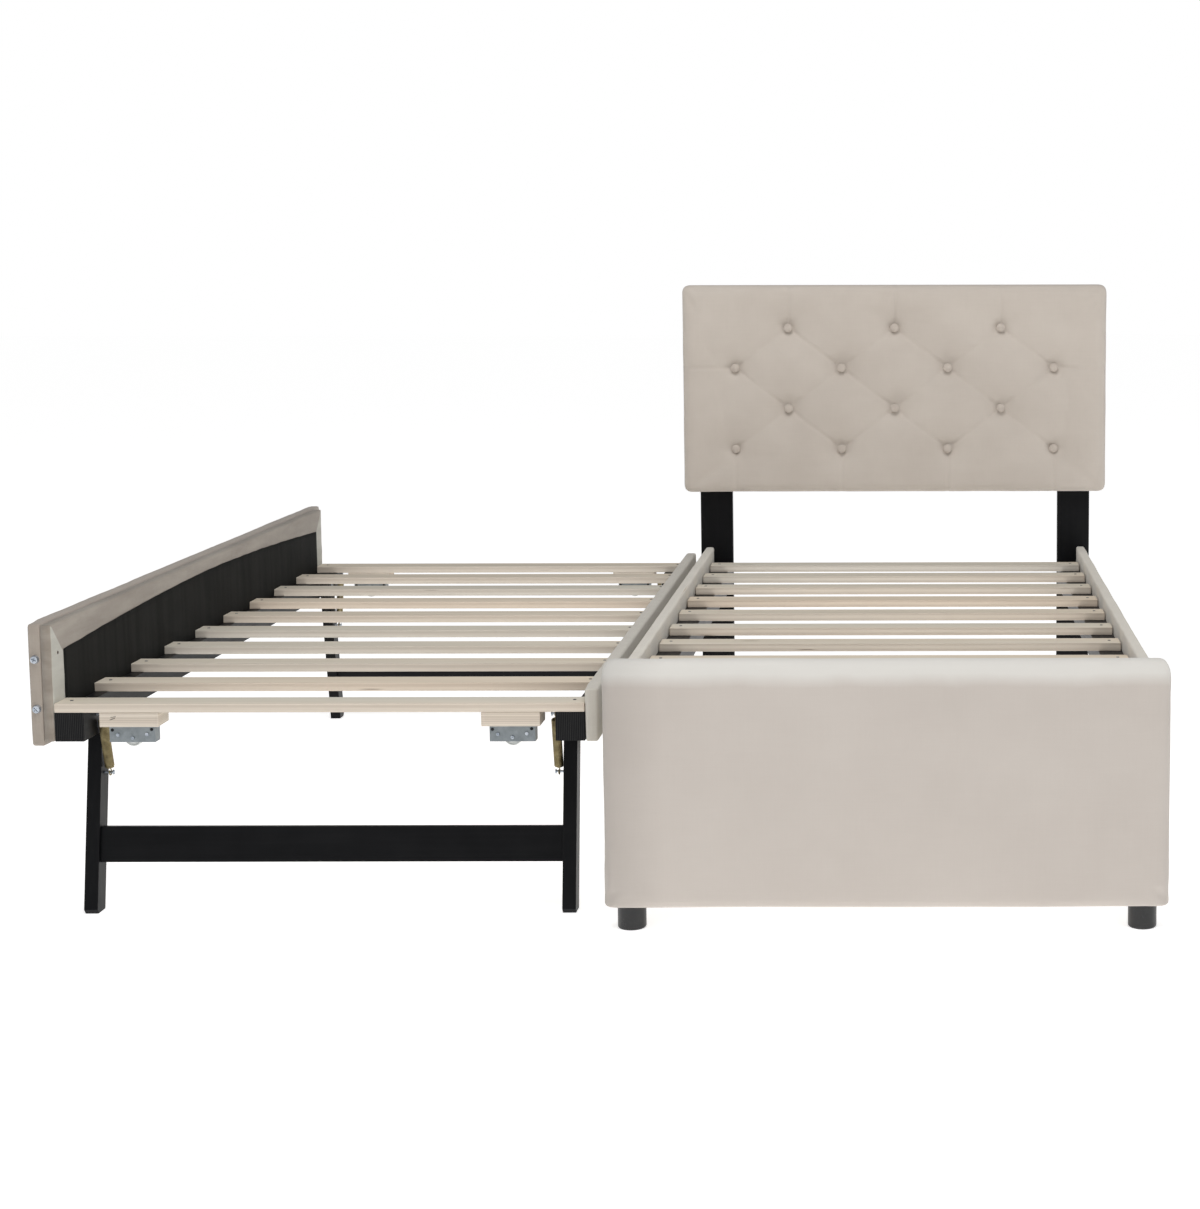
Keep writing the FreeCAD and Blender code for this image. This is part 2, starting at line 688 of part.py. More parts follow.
springs = []
pivot_level = size("hinge_level")
lean = math.radians(size("leg_lean"))
for side, sign in SIDES.items():
    leg_inner = size("bunk_slat_long") / 2 - size("side_thick") - size("side_gap") - size("leg_thick")
    across = size("bunk_axis") + sign * (leg_inner - size("spring_offset"))
    for end, way in ENDS.items():
        edge = size("bunk_end") if end == "foot" else size("bunk_end") + size("bunk_long")
        high = (edge + way * size("peg_inset"), size("peg_level"))
        low_inset = size("hinge_inset") - size("peg_down") * math.sin(lean)
        low = (edge + way * low_inset, pivot_level - size("peg_down") * math.cos(lean))
        springs.append(spring_shape(across, high, low))
leg_springs = doc.addObject("Part::Feature", "LegSprings")
leg_springs.Shape = Part.makeCompound(springs)
keep(leg_springs, "leg_springs")

# ---------------------------------------------------------------- rollers
# A laminated block under the first and the last slat, near each side, with a steel box on it
# and one wheel on an axle along the bed, so that the trundle rolls sideways.
BLOCK_LOW = "bunk_slat_top - slat_thick - roller_block_tall"
WHEEL_LEVEL = "wheel_low + wheel_radius"
STUDS = [(-37, 23), (-27, 14), (27, 15), (36, 24)]      # riveted studs: across, and up
blocks = []
boxes = []
for end in ENDS:
    for side, sign in SIDES.items():
        middle = f"bunk_axis + {sign} * roller_spread"
        along_bed = end_place(end, "slat_wide / 2")
        tag = f"{end}_{side}"
        carrier = block(f"Carrier_{tag}", f"{middle} - roller_block_wide / 2",
                        f"{along_bed} - slat_wide / 2", BLOCK_LOW,
                        "roller_block_wide", "slat_wide", "roller_block_tall")
        blocks.append(ease(f"CarrierEased_{tag}", carrier, "slat_ease"))

        solid = block(f"Box_{tag}", f"{middle} - roller_box_wide / 2",
                      f"{along_bed} - roller_box_deep / 2", f"{BLOCK_LOW} - roller_box_tall",
                      "roller_box_wide", "roller_box_deep", "roller_box_tall")
        space = block(f"BoxSpace_{tag}", f"{middle} - roller_box_wide / 2 + roller_sheet",
                      f"{along_bed} - roller_box_deep / 2 + roller_sheet",
                      f"{BLOCK_LOW} - roller_box_tall - 1",
                      "roller_box_wide - 2 * roller_sheet", "roller_box_deep - 2 * roller_sheet",
                      "roller_box_tall - roller_sheet + 1")
        shell = cut(f"BoxShell_{tag}", solid, space)
        axle = rod(f"Axle_{tag}", middle, f"{along_bed} - roller_box_deep / 2 - 1.5", WHEEL_LEVEL,
                   "axle_radius", "roller_box_deep + 3", axis="y")
        studs = [axle]
        for across, level in STUDS:
            stud = rod(f"Stud_{tag}_{len(studs)}", f"{middle} + {across}",
                       f"{along_bed} - roller_box_deep / 2 - stud_proud",
                       f"{BLOCK_LOW} - roller_box_tall + {level}", "stud_radius",
                       "roller_sheet", axis="y")
            studs.append(stud)
        boxes.append(join(f"BoxWhole_{tag}", [shell] + studs))

        wheel = new_body(f"Wheel_{tag}")
        profile = plane_sketch(wheel, "XY_Plane", f"WheelProfile_{tag}")
        bore = "axle_radius + axle_fit"
        half = "wheel_wide / 2"
        outline(profile, [
            (bore, f"-{half}"), ("wheel_radius - 9", f"-{half}"),
            ("wheel_radius - 7", f"-{half} + 2"), ("wheel_radius - 4", f"-{half} + 2"),
            ("wheel_radius - 2", f"-{half}"), ("wheel_radius", f"-{half} + 2.5"),
            ("wheel_radius", f"{half} - 2.5"), ("wheel_radius - 2", half),
            ("wheel_radius - 4", f"{half} - 2"), ("wheel_radius - 7", f"{half} - 2"),
            ("wheel_radius - 9", half), (bore, half)])
        turned = wheel.newObject("PartDesign::Revolution", f"WheelTurned_{tag}")
        turned.Profile = profile
        turned.ReferenceAxis = (profile, ["V_Axis"])
        turned.Angle = 360
        put(wheel, middle, along_bed, WHEEL_LEVEL)
        keep(wheel, f"{end}_wheel_{side}")
keep(group("Carriers", blocks), "caster_blocks")
keep(group("Boxes", boxes), "caster_housings")

# ---------------------------------------------------------------- check and write
doc.recompute()
for thing in doc.Objects:
    if "Invalid" in thing.State or "Error" in thing.State:
        raise RuntimeError(f"{thing.Label} failed: {thing.State}")
labels = [node.Label for node in nodes]
if len(set(labels)) != len(labels) or len(labels) > 60:
    raise RuntimeError(f"{len(labels)} sub-parts, names must be unique and at most 60")

os.makedirs("parts", exist_ok=True)
for node in nodes:
    shape = node.Shape
    if shape.isNull() or not shape.isValid() or not shape.Solids:
        raise RuntimeError(f"{node.Label} has no valid solid")
    shape.exportStep(f"parts/{node.Label}.step")
print(f"{len(nodes)} sub-parts written")
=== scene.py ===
"""Looks of an upholstered twin bed whose slatted trundle stands raised beside it.

Metres. +X from the trundle towards the main bed, +Y from the foot to the head, +Z up, origin on the floor.
"""
import bpy
import math
import numpy as np
from mathutils import Matrix, Vector, noise


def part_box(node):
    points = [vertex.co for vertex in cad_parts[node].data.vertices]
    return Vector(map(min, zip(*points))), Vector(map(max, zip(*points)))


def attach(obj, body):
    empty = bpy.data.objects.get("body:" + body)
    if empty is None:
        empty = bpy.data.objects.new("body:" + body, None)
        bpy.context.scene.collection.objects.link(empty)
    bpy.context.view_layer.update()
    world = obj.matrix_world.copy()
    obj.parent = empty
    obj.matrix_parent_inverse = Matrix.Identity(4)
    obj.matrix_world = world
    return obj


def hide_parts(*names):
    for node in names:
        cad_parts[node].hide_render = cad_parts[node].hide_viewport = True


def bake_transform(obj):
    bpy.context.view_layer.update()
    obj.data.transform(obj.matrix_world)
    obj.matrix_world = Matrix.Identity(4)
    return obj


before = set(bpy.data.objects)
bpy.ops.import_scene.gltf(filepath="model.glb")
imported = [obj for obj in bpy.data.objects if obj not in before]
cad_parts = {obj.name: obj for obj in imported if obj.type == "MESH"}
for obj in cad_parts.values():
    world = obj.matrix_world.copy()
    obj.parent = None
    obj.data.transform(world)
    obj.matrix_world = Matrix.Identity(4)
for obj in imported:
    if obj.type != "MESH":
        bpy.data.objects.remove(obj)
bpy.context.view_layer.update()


# ---- Studio -----------------------------------------------------------------------------------
# The bed stands on a pale seamless floor in front of a white ground. One large soft box hangs
# overhead, a little in front of the footboard, with two weak ones low at the front corners.
EYE = (0.5609, -5.0044, 1.2291)
EYE_TILT = 0.1114
EYE_ROLL = -0.0019
LENS = 67.15
FRAME_WIDTH = 36
FRAME_SHIFT = (-0.2612, -0.0821)
FLOOR_SIDE = 60
FLOOR_WHITE = (0.93, 0.93, 0.93, 1)
FLOOR_GLOW = 0.66
GROUND_WHITE = 1.0          # strength of the ground where it is looked at
AIR_LIGHT = 0.36            # and where it lights the bed
SOFT_BOXES = (              # name, middle, aimed at, side, watts
    ("Overhead", (0.3, -1.7, 3.7), (0.0, -0.2, 0.4), 2.4, 74),
    ("FrontLeft", (-3.2, -4.2, 2.4), (0.0, 0.0, 0.4), 2.4, 4),
    ("FrontRight", (3.4, -4.0, 2.0), (0.3, 0.0, 0.4), 2.4, 14),
)


def feed(tree, node, feeds):
    """Give each named input of a node a value or another node's output."""
    for key, value in feeds.items():
        if isinstance(value, bpy.types.NodeSocket):
            tree.links.new(value, node.inputs[key])
        else:
            node.inputs[key].default_value = value


def wire(tree, kind, feeds=None, **settings):
    """Add a node to a tree, set it up, and feed it."""
    node = tree.nodes.new(kind)
    for key, value in settings.items():
        setattr(node, key, value)
    feed(tree, node, feeds or {})
    return node


def work_out(tree, operation, *values):
    """One math node's result."""
    return wire(tree, "ShaderNodeMath", dict(enumerate(values)), operation=operation).outputs[0]


def white_ground():
    """Everything beyond the floor: white where it is looked at, softer where it lights the bed."""
    world = bpy.data.worlds.new("WhiteGround")
    world.use_nodes = True
    tree = world.node_tree
    tree.nodes.clear()
    seen = wire(tree, "ShaderNodeLightPath").outputs["Is Camera Ray"]
    strength = work_out(tree, "MULTIPLY_ADD", seen, GROUND_WHITE - AIR_LIGHT, AIR_LIGHT)
    glow = wire(tree, "ShaderNodeBackground", {"Color": (1, 1, 1, 1), "Strength": strength})
    wire(tree, "ShaderNodeOutputWorld", {"Surface": glow.outputs[0]})
    bpy.context.scene.world = world


def placed(name, data):
    """A new object in the scene, at the origin."""
    thing = bpy.data.objects.new(name, data)
    bpy.context.collection.objects.link(thing)
    return thing


def soft_box(name, middle, target, side, watts):
    lamp = bpy.data.lights.new(name, "AREA")
    lamp.size = side
    lamp.energy = watts
    box = placed(name, lamp)
    box.location = middle
    box.rotation_euler = (Vector(target) - Vector(middle)).to_track_quat("-Z", "Y").to_euler()


def new_finish(name):
    """A new material, its tree, and its Principled shader."""
    finish = bpy.data.materials.new(name)
    finish.use_nodes = True
    return finish, finish.node_tree, finish.node_tree.nodes["Principled BSDF"]


def pale_floor():
    half = FLOOR_SIDE / 2
    mesh = bpy.data.meshes.new("Floor")
    corners = [(-half, -half, 0), (half, -half, 0), (half, half, 0), (-half, half, 0)]
    mesh.from_pydata(corners, [], [(0, 1, 2, 3)])
    floor = placed("Floor", mesh)
    finish, tree, surface = new_finish("FloorWhite")
    feed(tree, surface, {
        "Base Color": FLOOR_WHITE,
        "Roughness": 0.9,
        "Specular IOR Level": 0.1,
        "Emission Color": (1, 1, 1, 1),
        "Emission Strength": FLOOR_GLOW,
    })
    mesh.materials.append(finish)


def eye():
    camera = bpy.data.cameras.new("Eye")
    camera.sensor_fit = "HORIZONTAL"
    camera.sensor_width = FRAME_WIDTH
    camera.lens = LENS
    camera.shift_x, camera.shift_y = FRAME_SHIFT
    stand = placed("Eye", camera)
    level = Matrix.Rotation(math.pi / 2 - EYE_TILT, 4, "X")
    stand.matrix_world = Matrix.Translation(EYE) @ level @ Matrix.Rotation(EYE_ROLL, 4, "Z")
    bpy.context.scene.camera = stand


white_ground()
pale_floor()
for lamp in SOFT_BOXES:
    soft_box(*lamp)
eye()
bpy.context.scene.view_settings.view_transform = "Standard"


# ---- Headboard --------------------------------------------------------------------------------
# A plywood board under 30 mm of foam and one piece of greige cloth, pulled round its edges and
# stapled behind. Fourteen buttons drawn in through the board tuft it in diamonds, and the slack
# lies in a fold between each two neighbours and in pleats from the outer buttons to the edges.
HEAD_ROLL = 0.019           # rounding of the padded edges
HEAD_BACK_ROLL = 0.006      # where the cloth turns onto the board
HEAD_STEP = 0.008           # mesh size before it is subdivided
HEAD_BACK_GAP = 0.0015      # the board's bare back shows inside the turned edge
PIT_REACH = 0.020           # the pit that a button lies in
PIT_DEPTH = 0.019
PULL_REACH = 0.052          # the wide hollow round it
PULL_DEPTH = 0.015
FOLD_DEPTH = 0.0056
FOLD_HALF = 0.0045
FOLD_SAG = 0.0056           # broad valley that goes with each fold
FOLD_SAG_HALF = 0.026
OUTLINE_GIVE = 0.25         # share of the cloth's movement left along the panel
HEAD_PROUD = 0.004          # padding stands this much past the frame at the sides
PLEAT_DEPTH = 0.0034
BUTTON_ROWS = ((0.716, 4), (0.824, 3), (0.932, 4), (1.038, 3))
BUTTON_PITCH = 0.283
HEAD_CLOTH = ((206, 197, 187), (190, 180, 170))
NOISE_ROUGHNESS = 0.55
HEAD_FILL = 0.003           # furthest that the cloth may move as it settles
CLOTH_PRESSURE = 4.0
CLOTH_STIFFNESS = 30
CLOTH_BENDING = 3
CLOTH_TICKS = 20


def linear(red, green, blue):
    """A colour given in 0-255 display values."""
    def one(value):
        value /= 255
        return value / 12.92 if value <= 0.04045 else ((value + 0.055) / 1.055) ** 2.4
    return (one(red), one(green), one(blue), 1)


def new_group(name, inputs, outputs):
    """An empty shader group with named float inputs, given with their defaults, and float outputs."""
    group = bpy.data.node_groups.new(name, "ShaderNodeTree")
    for label, value in inputs.items():
        group.interface.new_socket(label, in_out="INPUT", socket_type="NodeSocketFloat").default_value = value
    for label in outputs:
        group.interface.new_socket(label, in_out="OUTPUT", socket_type="NodeSocketFloat")
    return group, wire(group, "NodeGroupInput").outputs, wire(group, "NodeGroupOutput").inputs


def place_on(tree):
    """Object coordinates, which stay with the piece."""
    return wire(tree, "ShaderNodeTexCoord").outputs["Object"]


def times(tree, first, second):
    return work_out(tree, "MULTIPLY", first, second)


def plus(tree, first, second):
    return work_out(tree, "ADD", first, second)


def axis_parts(tree, vector):
    return wire(tree, "ShaderNodeSeparateXYZ", {0: vector}).outputs


def vector_of(tree, operation, feeds):
    """One vector math node's result."""
    return wire(tree, "ShaderNodeVectorMath", feeds, operation=operation).outputs[0]


def stretched_noise(tree, vector, scale, detail=3.0):
    """Noise over a vector that is first scaled differently along each axis."""
    placed = wire(tree, "ShaderNodeMapping", {"Vector": vector, "Scale": scale}).outputs[0]
    feeds = {"Vector": placed, "Scale": 1.0, "Detail": detail, "Roughness": NOISE_ROUGHNESS}
    return wire(tree, "ShaderNodeTexNoise", feeds).outputs["Fac"]


def plain_weave():
    """Threads crossing along the two axes that lie in whichever way the surface faces."""
    group, given, out = new_group("PlainWeave", {"Threads": 900.0, "Slub": 0.5}, ("Height", "Shade"))
    place = wire(group, "ShaderNodeTexCoord").outputs
    turns = times(group, given["Threads"], math.pi)
    stretched = vector_of(group, "SCALE", {0: place["Object"], "Scale": turns})
    waves = axis_parts(group, vector_of(group, "SINE", {0: stretched}))
    faces = axis_parts(group, place["Normal"])
    total = None
    for this, first, second in (("X", "Y", "Z"), ("Y", "Z", "X"), ("Z", "X", "Y")):
        facing = work_out(group, "POWER", work_out(group, "ABSOLUTE", faces[this]), 2.0)
        crossing = times(group, waves[first], waves[second])
        share = times(group, crossing, facing)
        total = share if total is None else plus(group, total, share)
    streaks = stretched_noise(group, place["Object"], (14, 14, 520), 2.0)
    lengthwise = stretched_noise(group, place["Object"], (520, 520, 12), 2.0)
    slubs = plus(group, streaks, lengthwise)
    uneven = times(group, work_out(group, "SUBTRACT", slubs, 1.0), given["Slub"])
    group.links.new(plus(group, total, uneven), out["Height"])
    shade = work_out(group, "MULTIPLY_ADD", total, 0.10, times(group, uneven, 0.45))
    group.links.new(shade, out["Shade"])
    return group


weave_group = plain_weave()


def use_group(tree, group, **feeds):
    """A node group's outputs, with its named inputs fed."""
    return wire(tree, "ShaderNodeGroup", feeds, node_tree=group).outputs


def blend_colours(tree, factor, first, second, mode="MIX"):
    feeds = {0: factor, 6: first, 7: second}
    return wire(tree, "ShaderNodeMix", feeds, data_type="RGBA", blend_type=mode).outputs[2]


def between(tree, factor, light_and_dark):
    """A mix of a finish's two tones: the dark one at 0, the light one at 1."""
    light, dark = light_and_dark
    return blend_colours(tree, factor, linear(*dark), linear(*light))


def spread(tree, value, low, high, to_low=0.0, to_high=1.0):
    """A value's stretch from low to high, made to run from to_low to to_high, and clamped."""
    return wire(tree, "ShaderNodeMapRange", {0: value, 1: low, 2: high, 3: to_low, 4: to_high}).outputs[0]


def bumped(tree, surface, height, strength, distance):
    raised = wire(tree, "ShaderNodeBump", {"Height": height, "Strength": strength, "Distance": distance})
    tree.links.new(raised.outputs[0], surface.inputs["Normal"])


def cloth_finish(name, tones, threads=900.0, cloud=7.0, nap=None, sheen=0.25):
    """Woven upholstery cloth: light and dark patches, slubs along the threads, and a soft sheen."""
    finish, tree, surface = new_finish(name)
    place = place_on(tree)
    woven = use_group(tree, weave_group, Threads=threads)
    patches = stretched_noise(tree, place, nap or (cloud, cloud, cloud), 4.0)
    tone = plus(tree, spread(tree, patches, 0.3, 0.7, 0.28, 0.72), woven["Shade"])
    tree.links.new(between(tree, tone, tones), surface.inputs["Base Color"])
    rough = work_out(tree, "MULTIPLY_ADD", woven["Height"], 0.06, 0.88)
    feed(tree, surface, {
        "Roughness": rough,
        "Sheen Weight": sheen,
        "Sheen Roughness": 0.6,
        "Specular IOR Level": 0.25,
    })
    bumped(tree, surface, woven["Height"], 0.35, 0.0005)
    return finish


def axis_marks(low, high, roll, step):
    """Places of the mesh lines along one axis: closer together over the two rounded ends."""
    ends = [roll * share for share in (0.0, 0.3, 0.62)]
    count = max(1, round((high - low - 2 * roll) / step))
    inner = [low + roll + (high - low - 2 * roll) * n / count for n in range(count + 1)]
    return [low + e for e in ends] + inner + [high - e for e in reversed(ends)]


def rolled_block(low, high, roll, step):
    """Vertices and faces of a closed block of even quads whose edges are rounded by roll."""
    marks = [axis_marks(a, b, roll, step) for a, b in zip(low, high)]
    last = [len(m) - 1 for m in marks]
    core_low = Vector(low) + Vector((roll,) * 3)
    core_high = Vector(high) - Vector((roll,) * 3)
    found, points, faces = {}, [], []

    def corner(*index):
        if index not in found:
            at = Vector(marks[a][n] for a, n in enumerate(index))
            core = Vector(min(max(at[a], core_low[a]), core_high[a]) for a in range(3))
            found[index] = len(points)
            points.append(core + (at - core).normalized() * roll)
        return found[index]

    for fixed in range(3):
        across, up = (fixed + 1) % 3, (fixed + 2) % 3
        for end in (0, last[fixed]):
            for n in range(last[across]):
                for k in range(last[up]):
                    ring = []
                    for dn, dk in ((0, 0), (1, 0), (1, 1), (0, 1)):
                        index = [0, 0, 0]
                        index[fixed], index[across], index[up] = end, n + dn, k + dk
                        ring.append(corner(*index))
                    faces.append(ring if end else ring[::-1])
    return points, faces


def new_piece(name, points, faces, finish):
    """A smooth mesh object with one material."""
    mesh = bpy.data.meshes.new(name)
    mesh.from_pydata(points, [], faces)
    mesh.materials.append(finish)
    mesh.shade_smooth()
    return placed(name, mesh)


def settle(piece, held, cap):
    """Let the cloth fill and pull where it isn't held. The board inside keeps its outline."""
    start = [v.co.copy() for v in piece.data.vertices]
    pins = piece.vertex_groups.new(name="Held")
    pins.add(held, 1.0, "REPLACE")
    cloth = piece.modifiers.new("Cloth", "CLOTH")
    weave = cloth.settings
    weave.vertex_group_mass = "Held"
    weave.use_pressure = True
    weave.uniform_pressure_force = CLOTH_PRESSURE
    weave.effector_weights.gravity = 0
    weave.quality = 4
    weave.tension_stiffness = weave.compression_stiffness = CLOTH_STIFFNESS
    weave.bending_stiffness = CLOTH_BENDING
    cloth.collision_settings.use_collision = False
    cloth.point_cache.frame_end = CLOTH_TICKS
    for tick in range(1, CLOTH_TICKS + 1):
        bpy.context.scene.frame_set(tick)
    filled = piece.evaluated_get(bpy.context.evaluated_depsgraph_get()).data
    moved = [v.co.copy() for v in filled.vertices]
    piece.modifiers.remove(cloth)
    bpy.context.scene.frame_set(1)
    for vertex, before, after in zip(piece.data.vertices, start, moved):
        step = after - before
        step.x, step.z = step.x * OUTLINE_GIVE, step.z * OUTLINE_GIVE
        vertex.co = before + step * min(1.0, cap / max(step.length, 1e-9))
    piece.vertex_groups.remove(pins)


def as_modified(piece):
    """The plain mesh that a piece's modifiers make of it."""
    return bpy.data.meshes.new_from_object(piece.evaluated_get(bpy.context.evaluated_depsgraph_get()))


def subdivide(piece):
    """One smooth subdivision, applied."""
    piece.modifiers.new("Smooth", "SUBSURF").levels = 1
    finer = as_modified(piece)
    piece.modifiers.clear()
    piece.data = finer


def corners_of(node):
    """The low and high corners of a CAD node's box."""
    return (Vector(corner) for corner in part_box(node))


def button_places():
    """Middles of the fourteen buttons, and the row that each is in."""
    low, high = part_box("headboard_board")
    middle = (low[0] + high[0]) / 2
    return [
        (middle + BUTTON_PITCH * (n - (count - 1) / 2), level, row)
        for row, (level, count) in enumerate(BUTTON_ROWS)
        for n in range(count)
    ]


def tuft_folds(buttons, low, high):
    """Every fold of the tufting: its two ends, its strength, and whether it runs out to an edge."""
    noise.seed_set(5)
    folds = []
    for n, (x, z, row) in enumerate(buttons):
        for other_x, other_z, other_row in buttons[n + 1:]:
            if other_row == row + 1 and abs(other_x - x) < BUTTON_PITCH * 0.6:
                folds.append(((x, z), (other_x, other_z), 0.55 + 0.6 * noise.random(), False))
        if row == 3:
            folds.append(((x, z), (x, high[2]), 0.5 + 0.5 * noise.random(), True))
        if row == 0:
            folds.append(((x, z), (x, low[2]), 0.4 + 0.5 * noise.random(), True))
    side = sorted(b for b in buttons if b[2] == 2)
    folds.append((side[0][:2], (low[0], side[0][1]), 0.9, True))
    folds.append((side[-1][:2], (high[0], side[-1][1]), 0.9, True))
    return folds


def beside(x, z, start, end):
    """Distances of places from a line between two points, and their shares of the way along it."""
    run = Vector(end) - Vector(start)
    share = (((x - start[0]) * run.x + (z - start[1]) * run.y) / run.length_squared).clip(0, 1)
    return np.hypot(x - start[0] - run.x * share, z - start[1] - run.y * share), share


def pull_at(x, z, buttons):
    """How far the buttons draw the padding in at some places."""
    deep = np.zeros_like(x)
    for bx, bz, _ in buttons:
        away = np.hypot(x - bx, z - bz)
        deep += PULL_DEPTH * np.exp(-(away / PULL_REACH) ** 1.35)
        deep += (PIT_DEPTH - PULL_DEPTH) * np.exp(-(away / PIT_REACH) ** 3)
    return deep


def fold_at(x, z, folds):
    """Depths of the folds and of their broad valleys at some places."""
    fine, broad = np.zeros_like(x), np.zeros_like(x)
    for start, end, strength, to_edge in folds:
        away, share = beside(x, z, start, end)
        crease = strength * np.exp(-(away / FOLD_HALF) ** 2)
        if to_edge:
            fine = np.maximum(fine, PLEAT_DEPTH * crease * (1 - 0.35 * share))
            broad += 0.12 * strength * FOLD_SAG * np.exp(-(away / FOLD_SAG_HALF) ** 2) * (1 - share)
        else:
            near = (2 * share - 1) ** 2
            fine = np.maximum(fine, FOLD_DEPTH * crease * (0.35 + 0.65 * near))
            broad += strength * FOLD_SAG * np.exp(-(away / FOLD_SAG_HALF) ** 1.5) * (0.45 + 0.55 * near)
    return fine, broad.clip(0, 1.4 * FOLD_SAG)


def headboard_padding(finish):
    low, high = corners_of("headboard_padding")
    high.y -= HEAD_BACK_GAP
    low.x, high.x = low.x - HEAD_PROUD, high.x + HEAD_PROUD
    middle = (low.y + high.y) / 2
    spare = Vector((0, HEAD_ROLL - HEAD_BACK_ROLL, 0))
    points, faces = rolled_block(low, high + spare, HEAD_ROLL, HEAD_STEP)
    for p in points:
        turned = p.y - (high.y - HEAD_BACK_ROLL)
        if turned > 0:
            p.y -= turned * (1 - HEAD_BACK_ROLL / HEAD_ROLL)
    buttons = button_places()
    folds = tuft_folds(buttons, low, high)
    front = [n for n, p in enumerate(points) if p.y < middle]
    held = [n for n, p in enumerate(points) if p.y >= middle]
    x, z = np.array([(points[n].x, points[n].z) for n in front]).T
    sunk = pull_at(x, z, buttons) + fold_at(x, z, folds)[1]
    in_pit = np.min([np.hypot(x - bx, z - bz) for bx, bz, _ in buttons], axis=0) < PIT_REACH
    for n, inwards, pinned in zip(front, sunk, in_pit):
        points[n].y += inwards
        if pinned:
            held.append(n)
    piece = new_piece("HeadboardPadding", points, faces, finish)
    settle(piece, held, HEAD_FILL)
    subdivide(piece)
    places = [v.co.copy() for v in piece.data.vertices]
    normals = [v.normal.copy() for v in piece.data.vertices]
    x, z = np.array([(at.x, at.z) for at in places]).T
    for vertex, at, out, fine in zip(piece.data.vertices, places, normals, fold_at(x, z, folds)[0]):
        if at.y < middle:
            soft = noise.noise(Vector((at.x * 11, at.y * 11, at.z * 14))) * 0.0009
            inwards = Vector((0, 1, 0)) - Vector((out.x, 0, out.z)) * 0.8
            vertex.co = at + inwards * (float(fine) + soft)
    piece.data.shade_smooth()
    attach(piece, "main_bed")
    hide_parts("headboard_padding")


head_cloth = cloth_finish("HeadboardCloth", HEAD_CLOTH)
headboard_padding(head_cloth)


# ---- Headboard buttons ------------------------------------------------------------------------
# Each is a domed metal shell covered with the same cloth and sewn through the board. Cloth
# gathers under its rim, so it is flatter in the middle and creased at the edge.
BUTTON_RADIUS = 0.0115
BUTTON_DOME = 0.0052
BUTTON_SEAT = 0.9660        # how far along the bed its middle lies
BUTTON_RINGS = 9
BUTTON_SPOKES = 40
BUTTON_CLOTH = ((204, 194, 184), (180, 169, 158))


def covered_button(x, z):
    """Points and faces of one covered button that faces -Y, and closes behind its rim."""
    points, faces = [Vector((x, BUTTON_SEAT - BUTTON_DOME, z))], []
    for ring in range(1, BUTTON_RINGS + 1):
        turn = ring / BUTTON_RINGS * math.radians(150)
        wide = math.sin(min(turn, math.radians(118))) if ring < BUTTON_RINGS else 0.7
        level = BUTTON_SEAT - BUTTON_DOME * math.cos(turn)
        for spoke in range(BUTTON_SPOKES):
            angle = math.tau * spoke / BUTTON_SPOKES
            gather = 1 + 0.012 * math.cos(10 * angle) * (ring / BUTTON_RINGS) ** 2
            reach = BUTTON_RADIUS * wide * gather
            points.append(Vector((x + reach * math.cos(angle), level, z + reach * math.sin(angle))))
    back = len(points)
    points.append(Vector((x, BUTTON_SEAT + BUTTON_DOME, z)))
    for spoke in range(BUTTON_SPOKES):
        here, there = 1 + spoke, 1 + (spoke + 1) % BUTTON_SPOKES
        faces.append((0, here, there))
        for ring in range(BUTTON_RINGS - 1):
            near, far = ring * BUTTON_SPOKES, (ring + 1) * BUTTON_SPOKES
            faces.append((here + near, here + far, there + far, there + near))
        rim = (BUTTON_RINGS - 1) * BUTTON_SPOKES
        faces.append((here + rim, back, there + rim))
    return points, faces


def headboard_buttons(finish):
    points, faces = [], []
    for x, z, _ in button_places():
        more, rings = covered_button(x, z)
        faces += [[n + len(points) for n in ring] for ring in rings]
        points += more
    piece = new_piece("HeadboardButtons", points, faces, finish)
    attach(piece, "main_bed")
    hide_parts("headboard_buttons")


headboard_buttons(cloth_finish("ButtonCloth", BUTTON_CLOTH, cloud=60.0))


# ---- Plywood boards ---------------------------------------------------------------------------
# The boards inside the padding, the rails and the trundle's tall side are poplar plywood. They
# show where no cloth covers them: behind the headboard and along the undersides.
PLY_FACE = ((196, 172, 138), (172, 146, 112))
PLY_LINE = (96, 74, 52)
PLY_THICKNESS = 0.0018


def ply_lines():
    """Glue lines between plies, and each ply's own tone, across a stack of them."""
    group, given, out = new_group("PlyLines", {"Across": 0.0, "Ply": 0.0025, "Waver": 0.1}, ("Line", "Tone"))
    place = place_on(group)
    drift = work_out(group, "SUBTRACT", stretched_noise(group, place, (6, 6, 6), 2.0), 0.5)
    count = work_out(group, "DIVIDE", given["Across"], given["Ply"])
    level = work_out(group, "MULTIPLY_ADD", drift, given["Waver"], count)
    rest = work_out(group, "FRACT", level)
    from_line = work_out(group, "ABSOLUTE", work_out(group, "SUBTRACT", rest, 0.5))
    group.links.new(spread(group, from_line, 0.34, 0.5), out["Line"])
    number = work_out(group, "FLOOR", level)
    ply = wire(group, "ShaderNodeTexWhiteNoise", {"W": number}, noise_dimensions="1D")
    group.links.new(ply.outputs["Value"], out["Tone"])
    return group


